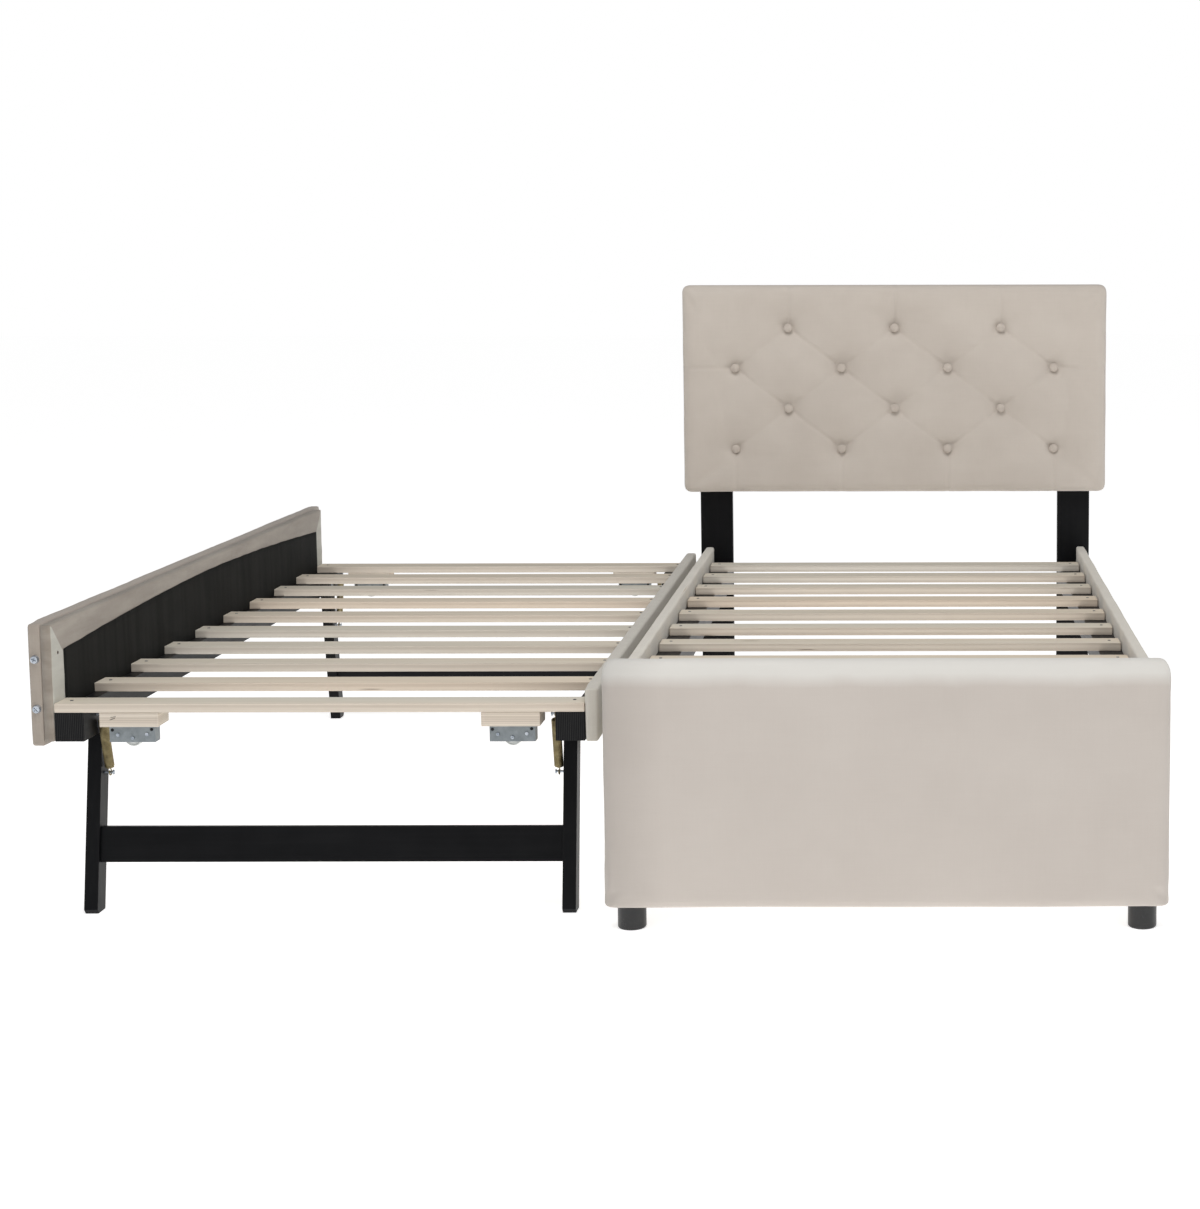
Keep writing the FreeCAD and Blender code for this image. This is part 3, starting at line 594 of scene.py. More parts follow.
def worn_edge():
    """Where a surface turns over an edge: 1 on the edge and 0 on the flat."""
    group, given, out = new_group("WornEdge", {"Reach": 0.0015, "Break": 60.0}, ("Edge",))
    rounded = wire(group, "ShaderNodeBevel", {"Radius": given["Reach"]}, samples=4).outputs[0]
    flat = wire(group, "ShaderNodeNewGeometry").outputs["Normal"]
    agree = wire(group, "ShaderNodeVectorMath", {0: rounded, 1: flat}, operation="DOT_PRODUCT")
    edge = spread(group, work_out(group, "SUBTRACT", 1.0, agree.outputs["Value"]), 0.01, 0.12)
    feeds = {"Vector": place_on(group), "Scale": given["Break"], "Detail": 3.0}
    broken = wire(group, "ShaderNodeTexNoise", feeds).outputs["Fac"]
    group.links.new(times(group, edge, spread(group, broken, 0.4, 0.62)), out["Edge"])
    return group


ply_group = ply_lines()
wear_group = worn_edge()


def plywood_finish():
    finish, tree, surface = new_finish("PlywoodFace")
    place = wire(tree, "ShaderNodeTexCoord").outputs
    at = axis_parts(tree, place["Object"])
    grain = stretched_noise(tree, place["Object"], (5, 60, 90), 5.0)
    plies = use_group(tree, ply_group, Across=at["Y"], Ply=PLY_THICKNESS)
    colour = between(tree, spread(tree, grain, 0.3, 0.7), PLY_FACE)
    shaded = blend_colours(tree, times(tree, plies["Line"], 0.15), colour, linear(*PLY_LINE))
    feed(tree, surface, {
        "Base Color": shaded,
        "Roughness": spread(tree, grain, 0.2, 0.8, 0.55, 0.75),
    })
    bumped(tree, surface, grain, 0.3, 0.0006)
    return finish


def refinish(finish, *nodes):
    """Give carried-over CAD nodes a finish."""
    for name in nodes:
        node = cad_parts[name]
        for slot in node.material_slots:
            slot.material = finish
        if not node.material_slots:
            node.data.materials.append(finish)


refinish(
    plywood_finish(), "headboard_board", "footboard_board", "side_rail_left", "side_rail_right",
    "front_board", "back_board")


# ---- Black timber -----------------------------------------------------------------------------
# The headboard's flat legs, the ledgers under the slats, the trundle's rails, end blocks and
# fold-down legs are laminated timber, sprayed satin black so thinly that the plies show through.
BLACK = ((25, 25, 27), (11, 12, 14))
BLACK_PLY_LINE = (74, 73, 72)
BLACK_EDGE = (70, 68, 64)
BLACK_PLY = 0.0034


def black_finish(name, grain_scale, across=None):
    """Satin black paint over timber whose grain runs along the axis that grain_scale stretches."""
    finish, tree, surface = new_finish(name)
    place = place_on(tree)
    grain = stretched_noise(tree, place, grain_scale, 4.0)
    dust = stretched_noise(tree, place, (9, 9, 9), 5.0)
    tone = plus(tree, spread(tree, dust, 0.35, 0.75, 0.0, 0.5), spread(tree, grain, 0.45, 0.8, 0.0, 0.35))
    colour = between(tree, tone, BLACK)
    height = grain
    if across:
        at = axis_parts(tree, place)
        plies = use_group(tree, ply_group, Across=at[across], Ply=BLACK_PLY, Waver=0.25)
        colour = blend_colours(tree, times(tree, plies["Line"], 0.6), colour, linear(*BLACK_PLY_LINE))
        height = work_out(tree, "SUBTRACT", grain, times(tree, plies["Line"], 0.8))
    edge = use_group(tree, wear_group, Reach=0.0012)["Edge"]
    colour = blend_colours(tree, times(tree, edge, 0.4), colour, linear(*BLACK_EDGE))
    feed(tree, surface, {
        "Base Color": colour,
        "Roughness": work_out(tree, "MULTIPLY_ADD", grain, 0.18, 0.33),
        "Specular IOR Level": 0.12,
    })
    bumped(tree, surface, height, 0.25, 0.0005)
    return finish


black_upright = black_finish("BlackUpright", (120, 120, 5))
black_rail = black_finish("BlackRail", (160, 5, 160), across="X")
black_bar = black_finish("BlackCrossbar", (4, 130, 130))
refinish(black_upright, "headboard_leg_left", "headboard_leg_right")
refinish(black_upright, *(f"{end}_leg_{side}" for end in ("foot", "head") for side in ("left", "right")))
refinish(black_rail, "ledger_left", "ledger_right", "rail_left", "rail_right", "rail_end_blocks")
refinish(black_bar, "foot_crossbar", "head_crossbar")


# ---- Footboard --------------------------------------------------------------------------------
# A wide plain panel: one piece of cloth over foam, fuller along its rounded top, pulled under
# and stapled. Two turned black feet are screwed into its lower edge.
FOOT_CLOTH = ((204, 196, 188), (191, 182, 174))
# painted highlight: the paler tone of the footboard's top roll
FOOT_ROLL_HIGHLIGHT = (219, 216, 210)
TURNED_BLACK = ((34, 34, 34), (14, 14, 15))
FOOT_ROLL = 0.020
FOOT_TOP_ROLL = 0.046       # height of the fuller roll along the top
FOOT_LOW_ROLL = 0.008
FOOT_STEP = 0.0085
FOOT_FILL = 0.003           # furthest that the cloth may move as it settles
FOOT_PROUD = 0.005
FOOT_SAG = 0.006            # the cloth hangs a little below the board, over the feet


def footboard_padding(finish):
    low, high = corners_of("footboard_padding")
    low.x, high.x, low.z = low.x - FOOT_PROUD, high.x + FOOT_PROUD, low.z - FOOT_SAG
    points, faces = rolled_block(low, high, FOOT_ROLL, FOOT_STEP)
    tall = high.z - low.z
    for p in points:
        from_top, from_low = high.z - p.z, p.z - low.z
        if from_top < FOOT_ROLL:
            p.z = high.z - from_top * FOOT_TOP_ROLL / FOOT_ROLL
        elif from_low < FOOT_ROLL:
            p.z = low.z + from_low * FOOT_LOW_ROLL / FOOT_ROLL
        else:
            share = (from_low - FOOT_ROLL) / (tall - 2 * FOOT_ROLL)
            p.z = low.z + FOOT_LOW_ROLL + share * (tall - FOOT_LOW_ROLL - FOOT_TOP_ROLL)
        pinch = math.exp(-((p.z - low.z) / 0.05) ** 2) * 0.002
        middle = (low.x + high.x) / 2
        p.x -= math.copysign(pinch, p.x - middle) * (abs(p.x - middle) > 0.9 * (high.x - middle))
    held = [n for n, p in enumerate(points) if p.z < low.z + 0.012 or p.y > high.y - 0.001]
    piece = new_piece("FootboardPadding", points, faces, finish)
    settle(piece, held, FOOT_FILL)
    for vertex, at, out in [(v, v.co.copy(), v.normal.copy()) for v in piece.data.vertices]:
        near_top = math.exp(-((high.z - at.z) / 0.06) ** 2)
        dent = noise.noise(Vector((at.x * 5, at.y * 9, at.z * 7))) * 0.0012
        dent += noise.noise(Vector((at.x * 26, at.y * 20, at.z * 5))) * 0.0005 * near_top
        vertex.co = at + out * dent
    subdivide(piece)
    piece.data.shade_smooth()
    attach(piece, "main_bed")
    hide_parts("footboard_padding")


def painted_roll_highlight_and_left_shade(finish):
    """The cloth is painted paler along the top roll, a painted highlight, and darker grey towards the left
    end, a painted shade.
    """
    low, high = corners_of("footboard_padding")
    tree = finish.node_tree
    colour_socket = tree.nodes["Principled BSDF"].inputs["Base Color"]
    colour = colour_socket.links[0].from_socket
    place = place_on(tree)
    across, _, up = axis_parts(tree, place)
    waver = stretched_noise(tree, place, (14, 14, 14), 2.0)
    height = work_out(tree, "MULTIPLY_ADD", waver, 0.012, up)
    # painted highlight: a paler band along the top roll
    paler = spread(tree, height, high.z - 0.042, high.z - 0.018)
    colour = blend_colours(tree, paler, colour, linear(*FOOT_ROLL_HIGHLIGHT))
    # painted shade: the cloth darkens towards the footboard's left end
    painted_left_shade = spread(tree, across, low.x - 0.01, low.x + 0.11, 0.80, 1.0)
    colour = blend_colours(tree, 1.0, colour, painted_left_shade, "MULTIPLY")
    tree.links.new(colour, colour_socket)
    return finish


def turned_foot_finish():
    finish, tree, surface = new_finish("TurnedFootBlack")
    place = place_on(tree)
    turning = stretched_noise(tree, place, (12, 12, 700), 2.0)
    scuffs = stretched_noise(tree, place, (60, 60, 60), 5.0)
    colour = between(tree, spread(tree, scuffs, 0.5, 0.75), TURNED_BLACK)
    feed(tree, surface, {
        "Base Color": colour,
        "Roughness": spread(tree, scuffs, 0.3, 0.7, 0.26, 0.42),
    })
    bumped(tree, surface, turning, 0.2, 0.0004)
    return finish


footboard_padding(painted_roll_highlight_and_left_shade(cloth_finish("FootboardCloth", FOOT_CLOTH, cloud=4.0)))
refinish(turned_foot_finish(), "footboard_feet")


# ---- Side rails -------------------------------------------------------------------------------
# Boards wrapped in the same cloth with a thin wadding, folded over and stapled inside. The cloth
# lies tight on top and outside, and is drawn into small puckers at the staples inside.
RAIL_CLOTH = ((228, 223, 213), (210, 204, 193))
WRAP_ROLL = 0.0055
WRAP_STEP = 0.008
PUCKER_PITCH = 0.055
PUCKER_DEPTH = 0.0012


def wrapped_board(name, node, finish, body, inner, puckers=1.0, trim=None):
    """Cloth round a board, rounded at its edges. inner is the X direction of the stapled face."""
    low, high = corners_of(node)
    points, faces = rolled_block(low, high, WRAP_ROLL, WRAP_STEP)
    inside = high.x if inner > 0 else low.x
    for p in points:
        drape = noise.noise(Vector((p.x * 20, p.y * 6, p.z * 16)))
        ripple = noise.noise(Vector((p.x * 9, p.y * 38, p.z * 8 + 4)))
        face = math.exp(-((p.x - inside) / 0.004) ** 2)
        level = math.exp(-((p.z - low.z) / (0.45 * (high.z - low.z))) ** 2)
        pucker = math.cos(math.tau * p.y / PUCKER_PITCH) * level
        p.x -= inner * face * puckers * PUCKER_DEPTH * (pucker + 0.9 * ripple)
        p.z += (drape * 0.0011 + ripple * 0.0005) * (p.z > high.z - 2 * WRAP_ROLL)
        p.x += 0.0006 * drape
    if trim:
        for p in points:
            trim(p, low, high)
    piece = new_piece(name, points, faces, finish)
    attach(piece, body)
    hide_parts(node)


rail_cloth = cloth_finish("RailCloth", RAIL_CLOTH, cloud=9.0)
wrapped_board("SideRailLeftCover", "side_rail_left_cover", rail_cloth, "main_bed", 1)
wrapped_board("SideRailRightCover", "side_rail_right_cover", rail_cloth, "main_bed", -1)


# ---- Slats ------------------------------------------------------------------------------------
# Twenty slats of bare laminated poplar, seven plies each, planed on top and sawn at the edges,
# with a few pin knots and brown flecks. Each is held down by a countersunk screw near each end.
SLAT_TOP = ((226, 220, 209), (208, 200, 186))
SLAT_EDGE = ((236, 229, 219), (204, 194, 183))
SLAT_PLY = 0.0026
SLAT_LINE = (132, 117, 102)
SLAT_FLECK = (104, 84, 66)
SLAT_WARMTH = ((252, 240, 226), (236, 238, 236))
SCREW_RADIUS = 0.0036
SCREW_HEAD = 0.0016
SCREW_INSET = 0.022


def laminated_finish(name, ply):
    """Bare poplar: grain and figure on the faces, plies and their glue lines at the edges."""
    finish, tree, surface = new_finish(name)
    place = wire(tree, "ShaderNodeTexCoord").outputs
    at = axis_parts(tree, place["Object"])
    up = work_out(tree, "POWER", work_out(tree, "ABSOLUTE", axis_parts(tree, place["Normal"])["Z"]), 4.0)
    grain = stretched_noise(tree, place["Object"], (4.5, 150, 190), 5.0)
    figure = stretched_noise(tree, place["Object"], (1.1, 26, 40), 3.0)
    board = stretched_noise(tree, place["Object"], (0.3, 4.9, 2), 1.0)
    plies = use_group(tree, ply_group, Across=at["Z"], Ply=ply, Waver=0.3)
    tone = plus(tree, spread(tree, grain, 0.3, 0.7, 0.0, 0.5), spread(tree, figure, 0.3, 0.7, 0.0, 0.5))
    edge = between(tree, plus(tree, times(tree, plies["Tone"], 0.55), times(tree, tone, 0.45)), SLAT_EDGE)
    edge = blend_colours(tree, times(tree, plies["Line"], 0.62), edge, linear(*SLAT_LINE))
    colour = blend_colours(tree, up, edge, between(tree, tone, SLAT_TOP))
    tint = between(tree, spread(tree, board, 0.35, 0.65), SLAT_WARMTH)
    colour = blend_colours(tree, 0.7, colour, tint, "MULTIPLY")
    feeds = {"Vector": place["Object"], "Scale": (2.6, 17, 60)}
    drawn_out = wire(tree, "ShaderNodeMapping", feeds).outputs[0]
    flecks = wire(tree, "ShaderNodeTexVoronoi", {"Vector": drawn_out, "Scale": 1.0, "Randomness": 1.0})
    fleck = spread(tree, flecks.outputs["Distance"], 0.03, 0.075, 1.0, 0.0)
    colour = blend_colours(tree, times(tree, fleck, 0.7), colour, linear(*SLAT_FLECK))
    feed(tree, surface, {
        "Base Color": colour,
        "Roughness": spread(tree, grain, 0.25, 0.75, 0.55, 0.72),
        "Specular IOR Level": 0.3,
    })
    height = work_out(tree, "SUBTRACT", grain, times(tree, plies["Line"], 0.5))
    bumped(tree, surface, height, 0.3, 0.0004)
    return finish


def zinc_finish(name, bright, dull):
    """Bright zinc plating with a faint cloudy passivation."""
    finish, tree, surface = new_finish(name)
    place = place_on(tree)
    cloud = wire(tree, "ShaderNodeTexNoise", {"Vector": place, "Scale": 90.0, "Detail": 4.0}).outputs["Fac"]
    scratch = stretched_noise(tree, place, (900, 60, 900), 2.0)
    colour = between(tree, spread(tree, cloud, 0.35, 0.65), (bright, dull))
    feed(tree, surface, {
        "Base Color": colour,
        "Metallic": 0.9,
        "Roughness": spread(tree, cloud, 0.3, 0.7, 0.28, 0.45),
    })
    bumped(tree, surface, scratch, 0.15, 0.0002)
    return finish


def growing_tree(name, made, **inputs):
    """An empty Geometry Nodes tree with named inputs, and its input node's outputs."""
    tree = bpy.data.node_groups.new(name, "GeometryNodeTree")
    for label, kind in inputs.items():
        tree.interface.new_socket(label, in_out="INPUT", socket_type=f"NodeSocket{kind}")
    tree.interface.new_socket(made, in_out="OUTPUT", socket_type="NodeSocketGeometry")
    return tree, wire(tree, "NodeGroupInput").outputs


def give_out(tree, shape, finish):
    """End a tree: real geometry, with its material."""
    real = wire(tree, "GeometryNodeRealizeInstances", {0: shape}).outputs[0]
    painted = wire(tree, "GeometryNodeSetMaterial", {"Geometry": real, "Material": finish}).outputs[0]
    wire(tree, "NodeGroupOutput", {0: painted})
    return tree


def facing_of_point(tree):
    return wire(
        tree, "GeometryNodeInputNamedAttribute", {"Name": "facing"}, data_type="FLOAT_VECTOR").outputs[0]


def screw_heads():
    """Geometry Nodes: a cross-slotted head at each point of a mesh, facing as the point says."""
    tree, given = growing_tree(
        "ScrewHeads", "Heads", Places="Geometry", Radius="Float", Height="Float", Slot="Float",
        Seed="Int", Finish="Material")
    height = given["Height"]
    disc = wire(tree, "GeometryNodeMeshCone", {
        "Vertices": 20, "Radius Bottom": given["Radius"], "Depth": height,
        "Radius Top": times(tree, given["Radius"], 0.8)})
    bar_long = times(tree, given["Radius"], 1.1)
    bars = wire(tree, "GeometryNodeJoinGeometry")
    for size in ((bar_long, given["Slot"]), (given["Slot"], bar_long)):
        extent = wire(tree, "ShaderNodeCombineXYZ", {0: size[0], 1: size[1], 2: height}).outputs[0]
        bar = wire(tree, "GeometryNodeMeshCube", {"Size": extent}).outputs["Mesh"]
        lift = wire(tree, "ShaderNodeCombineXYZ", {2: height}).outputs[0]
        raised = wire(tree, "GeometryNodeTransform", {"Geometry": bar, "Translation": lift}).outputs[0]
        tree.links.new(raised, bars.inputs[0])
    both = {0: disc.outputs["Mesh"], 1: bars.outputs[0]}
    cut = wire(tree, "GeometryNodeMeshBoolean", both, solver="EXACT", operation="DIFFERENCE")
    cut.inputs["Self Intersection"].default_value = True
    facing = facing_of_point(tree)
    aimed = wire(tree, "FunctionNodeAlignRotationToVector", {"Vector": facing}, axis="Z").outputs[0]
    spin = wire(tree, "FunctionNodeRandomValue", {"Seed": given["Seed"]}, data_type="FLOAT")
    spin.inputs[3].default_value = math.pi
    feeds = {"Axis": (0, 0, 1), "Angle": spin.outputs[1]}
    twist = wire(tree, "FunctionNodeAxisAngleToRotation", feeds).outputs[0]
    turned = wire(tree, "FunctionNodeRotateRotation", {0: aimed, 1: twist}, rotation_space="LOCAL").outputs[0]
    spots = wire(tree, "GeometryNodeInstanceOnPoints", {
        "Points": given["Places"], "Instance": cut.outputs[0], "Rotation": turned}).outputs[0]
    return give_out(tree, spots, given["Finish"])


def grown(piece, tree, **values):
    """Run a Geometry Nodes tree on a piece and keep the plain mesh that it makes."""
    modifier = piece.modifiers.new(tree.name, "NODES")
    modifier.node_group = tree
    ids = {item.name: item.identifier for item in tree.interface.items_tree if item.in_out == "INPUT"}
    for label, value in values.items():
        modifier[ids[label]] = value
    made = as_modified(piece)
    piece.modifiers.remove(modifier)
    if piece.type == "MESH":
        piece.data = made
        return piece
    name = piece.name
    bpy.data.objects.remove(piece)
    return placed(name, made)


head_tree = screw_heads()


def marked_points(name, places):
    """A mesh of bare points from (place, facing) pairs."""
    mesh = bpy.data.meshes.new(name)
    mesh.from_pydata([place for place, _ in places], [], [])
    facing = mesh.attributes.new("facing", "FLOAT_VECTOR", "POINT")
    for item, (_, way) in zip(facing.data, places):
        item.vector = way
    return placed(name, mesh)


def fasteners(name, body, places, finish, radius, height, seed, slot=0.0009, stands_for=()):
    """One piece of screw heads from (place, facing) pairs, sunk so that half of each stands out."""
    points = marked_points(name, places)
    piece = grown(points, head_tree, Radius=radius, Height=height, Slot=slot, Seed=seed, Finish=finish)
    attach(piece, body)
    if stands_for:
        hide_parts(*stands_for)


def slat_screws(prefix):
    """A screw near each end of every slat of one frame."""
    places = []
    for n in range(1, 11):
        low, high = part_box(f"{prefix}_slat_{n:02d}")
        for x in (low[0] + SCREW_INSET, high[0] - SCREW_INSET):
            places.append((Vector((x, (low[1] + high[1]) / 2, high[2] - 0.0006)), (0, 0, 1)))
    return places


slat_wood = laminated_finish("LaminatedPoplar", SLAT_PLY)
refinish(slat_wood, *(f"{which}_slat_{n:02d}" for which in ("main", "trundle") for n in range(1, 11)))
screw_zinc = zinc_finish("ScrewZinc", (150, 150, 150), (84, 82, 80))
fasteners("MainSlatScrews", "main_bed", slat_screws("main"), screw_zinc, SCREW_RADIUS, SCREW_HEAD, 3)
fasteners("TrundleSlatScrews", "trundle", slat_screws("trundle"), screw_zinc, SCREW_RADIUS, SCREW_HEAD, 4)


# ---- Headboard bolts --------------------------------------------------------------------------
# Three machine screws with wide heads hold each flat leg to the back of the headboard. They are
# zinc plated, and their heads stand proud of the leg's black paint.
LEG_SCREW_RADIUS = 0.0085
LEG_SCREW_HEAD = 0.0034
WIDE_SLOT = 0.0016
LEG_SCREW_LEVELS = (0.66, 0.86, 1.03)


def leg_screws():
    places = []
    for side in ("left", "right"):
        low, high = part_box(f"headboard_leg_{side}")
        middle = (low[0] + high[0]) / 2
        places += [(Vector((middle, high[1], level)), (0, 1, 0)) for level in LEG_SCREW_LEVELS]
    return places


leg_zinc = zinc_finish("LegScrewZinc", (176, 180, 184), (120, 124, 130))
fasteners(
    "HeadboardLegScrews", "main_bed", leg_screws(), leg_zinc, LEG_SCREW_RADIUS, LEG_SCREW_HEAD, 6, WIDE_SLOT)


# ---- Staples ----------------------------------------------------------------------------------
# Pneumatic staples hold the cloth behind the headboard and the footboard's lower edge; only those
# behind the headboard are made here, each as the crown that shows.
STAPLE_LONG = 0.010
STAPLE_WIRE = 0.0005
STAPLE_SKEW = 0.12
STAPLE_PITCH = 0.042
STAPLE_INSET = 0.0045


def drawn_wire(tree, route, radius, sides):
    """Round wire along a curve."""
    circle = {"Resolution": sides, "Radius": radius}
    section = wire(tree, "GeometryNodeCurvePrimitiveCircle", circle).outputs[0]
    feeds = {"Curve": route, "Profile Curve": section, "Fill Caps": True}
    return wire(tree, "GeometryNodeCurveToMesh", feeds).outputs[0]


def staple_crowns():
    """Geometry Nodes: a short wire at each point of a mesh, along the point's own direction."""
    tree, given = growing_tree(
        "StapleCrowns", "Crowns", Places="Geometry", Length="Float", Wire="Float", Skew="Float",
        Seed="Int", Finish="Material")
    half = times(tree, given["Length"], 0.5)
    back = times(tree, half, -1.0)
    start = wire(tree, "ShaderNodeCombineXYZ", {0: back}).outputs[0]
    end = wire(tree, "ShaderNodeCombineXYZ", {0: half}).outputs[0]
    line = wire(tree, "GeometryNodeCurvePrimitiveLine", {"Start": start, "End": end}).outputs[0]
    crown = drawn_wire(tree, line, given["Wire"], 8)
    along = facing_of_point(tree)
    jitter = wire(tree, "FunctionNodeRandomValue", {"Seed": given["Seed"]}, data_type="FLOAT_VECTOR")
    jitter.inputs[0].default_value = (-1, -1, -1)
    skew = vector_of(tree, "SCALE", {0: jitter.outputs[0], "Scale": given["Skew"]})
    aim = vector_of(tree, "ADD", {0: along, 1: skew})
    turned = wire(tree, "FunctionNodeAlignRotationToVector", {"Vector": aim}, axis="X").outputs[0]
    spots = wire(tree, "GeometryNodeInstanceOnPoints", {
        "Points": given["Places"], "Instance": crown, "Rotation": turned}).outputs[0]
    return give_out(tree, spots, given["Finish"])


def stapled_rim():
    """Places of the staples round the back of the headboard's padding, and along each one."""
    low, high = corners_of("headboard_padding")
    board_low, board_high = corners_of("headboard_board")
    y = high.y - HEAD_BACK_GAP
    places = []
    for level in (low.z + STAPLE_INSET, high.z - STAPLE_INSET):
        count = int((board_high.x - board_low.x) / STAPLE_PITCH)
        for n in range(count):
            places.append((Vector((board_low.x + (n + 0.5) * STAPLE_PITCH, y, level)), (1, 0, 0)))
    for x in (low.x + STAPLE_INSET, high.x - STAPLE_INSET):
        count = int((board_high.z - board_low.z) / STAPLE_PITCH)
        for n in range(count):
            places.append((Vector((x, y, board_low.z + (n + 0.5) * STAPLE_PITCH)), (0, 0, 1)))
    return places


def staples(name, body, places, finish, seed):
    """One piece of staple crowns from (place, direction) pairs."""
    points = marked_points(name, places)
    piece = grown(
        points, staple_tree, Length=STAPLE_LONG, Wire=STAPLE_WIRE, Skew=STAPLE_SKEW, Seed=seed, Finish=finish)
    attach(piece, body)


staple_tree = staple_crowns()
staple_zinc = zinc_finish("StapleZinc", (188, 190, 192), (138, 140, 142))
staples("HeadboardStaples", "main_bed", stapled_rim(), staple_zinc, 21)


# ---- Trundle's tall front board ---------------------------------------------------------------
# A plywood panel wrapped in taupe cloth, bolted to the outer face of a batten frame. The frame is
# wrapped in cloth that is paler on the uprights, mitred at its corners, and closed by a black dust
# cloth. Only the uprights' inward faces show the paler tone, which is partly painted light.
TAUPE = ((173, 163, 152), (150, 139, 128))
BORDER_TAUPE = ((161, 152, 141), (138, 128, 117))
BORDER_PALE_LIT = ((196, 194, 184), (172, 170, 160))
BATTEN = 0.057              # width of the border at the ends
BORDER_TOP = 0.026          # the dust cloth's highest point, below the frame's top
ARCH_DROP = 0.027           # how much lower its upper edge is at the ends
BORDER_UNDER = 0.012        # how far the border runs on under the dust cloth
BORDER_STEP = 0.008
BORDER_ROLL = 0.004
DUST_CLOTH = ((36, 36, 34), (21, 21, 20))
LINING_LOW = 0.030          # its lower edge, above the frame's
LINING_ROWS = 12
LINING_PROUD = 0.0009
LINING_STEP = 0.012
LINING_TURN = 0.0008
BOLT_HEAD = 0.0082
BOLT_PROUD = 0.0056
PILOT_HOLE = 0.0035
HOLE_DEEP = 0.0008


def arch(share):
    """How far the dust cloth's upper edge lies below its middle, along the board."""
    return ARCH_DROP * abs(2 * share - 1) ** 1.7


def border_finish():
    """Taupe along the top, and paler on the inward faces of the two uprights, with the change along the
    mitres: partly paler cloth, partly painted light on the faces that turn inwards.
    """
    finish, tree, surface = new_finish("BorderCloth")
    low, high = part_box("front_frame")
    place = place_on(tree)
    at = axis_parts(tree, place)
    from_near = work_out(tree, "SUBTRACT", at["Y"], low[1])
    from_far = work_out(tree, "SUBTRACT", high[1], at["Y"])
    from_end = work_out(tree, "MINIMUM", from_near, from_far)
    from_top = work_out(tree, "SUBTRACT", high[2], at["Z"])
    upright = spread(tree, work_out(tree, "SUBTRACT", from_top, from_end), -0.0012, 0.0012)
    woven = use_group(tree, weave_group, Threads=850.0)
    nap = stretched_noise(tree, place, (18, 5, 34), 4.0)
    tone = plus(tree, spread(tree, nap, 0.3, 0.7), woven["Shade"])
    # painted light: only faces turned towards +X take the paler tone
    facing = axis_parts(tree, wire(tree, "ShaderNodeTexCoord").outputs["Normal"])["X"]
    upright = times(tree, upright, spread(tree, facing, 0.6, 0.8))
    top, side = between(tree, tone, BORDER_TAUPE), between(tree, tone, BORDER_PALE_LIT)
    feed(tree, surface, {
        "Base Color": blend_colours(tree, upright, top, side),
        "Roughness": work_out(tree, "MULTIPLY_ADD", woven["Height"], 0.06, 0.88),
        "Sheen Weight": 0.3,
        "Specular IOR Level": 0.2,
    })
    bumped(tree, surface, woven["Height"], 0.35, 0.0005)
    return finish


def border(finish):
    """The wrapped batten frame: a closed ring, rounded only where its outside meets its inner face, with a
    puckered face.
    """
    low, high = corners_of("front_frame")
    ring = [(low.y, low.z), (high.y, low.z), (high.y, high.z), (low.y, high.z)]
    # the section, from the hidden outer face round the outside to the inner edge of the window
    section = [(low.x, 0.0)]
    for turn in (0, 22.5, 45, 67.5, 90):
        angle = math.radians(turn)
        out = high.x - BORDER_ROLL + BORDER_ROLL * math.sin(angle)
        section.append((out, BORDER_ROLL - BORDER_ROLL * math.cos(angle)))
    under = BATTEN + BORDER_UNDER
    section += [(high.x, BORDER_ROLL + (under - BORDER_ROLL) * share) for share in (0.25, 0.5, 0.75, 1.0)]
    section.append((low.x, under))
    points, faces, loops = [], [], []
    for corner in range(4):
        start, end = Vector(ring[corner]), Vector(ring[(corner + 1) % 4])
        length = (end - start).length
        count = max(2, round(length / BORDER_STEP))
        run = (end - start) / length
        side = Vector((-run.y, run.x))
        for n in range(count):
            share = n / count
            loops.append([
                (x, start + run * (inset + (length - 2 * inset) * share) + side * inset)
                for x, inset in section
            ])
    for loop in loops:
        for x, at in loop:
            out = 1.0 if abs(x - high.x) < BORDER_ROLL else 0.0
            ripple = noise.noise(Vector((at[0] * 22, at[1] * 30, 3)))
            ripple += 0.6 * noise.noise(Vector((at[0] * 60, at[1] * 50, 8)))
            points.append(Vector((x + out * 0.0009 * ripple, at[0], at[1])))
    width = len(section)
    for n in range(len(loops)):
        for k in range(width):
            here, there = n * width, (n + 1) % len(loops) * width
            faces.append((here + k, there + k, there + (k + 1) % width, here + (k + 1) % width))
    piece = new_piece("FrontBorder", points, faces, finish)
    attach(piece, "trundle")
    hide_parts("front_frame")


def lining_finish():
    """Black spun-bonded dust cloth, faintly streaked and pressed in a fine point pattern."""
    finish, tree, surface = new_finish("DustCloth")
    place = place_on(tree)
    streaks = stretched_noise(tree, place, (4, 46, 3), 4.0)
    fibres = stretched_noise(tree, place, (700, 700, 700), 3.0)
    feeds = {"Vector": place, "Scale": 620.0, "Randomness": 0.15}
    points = wire(tree, "ShaderNodeTexVoronoi", feeds).outputs["Distance"]
    tone = plus(tree, spread(tree, streaks, 0.35, 0.7, 0.0, 0.7), spread(tree, fibres, 0.4, 0.7, 0.0, 0.3))
    feed(tree, surface, {
        "Base Color": between(tree, tone, DUST_CLOTH),
        "Roughness": spread(tree, fibres, 0.3, 0.7, 0.7, 0.9),
        "Specular IOR Level": 0.12,
    })
    bumped(tree, surface, plus(tree, fibres, points), 0.4, 0.0004)
    return finish


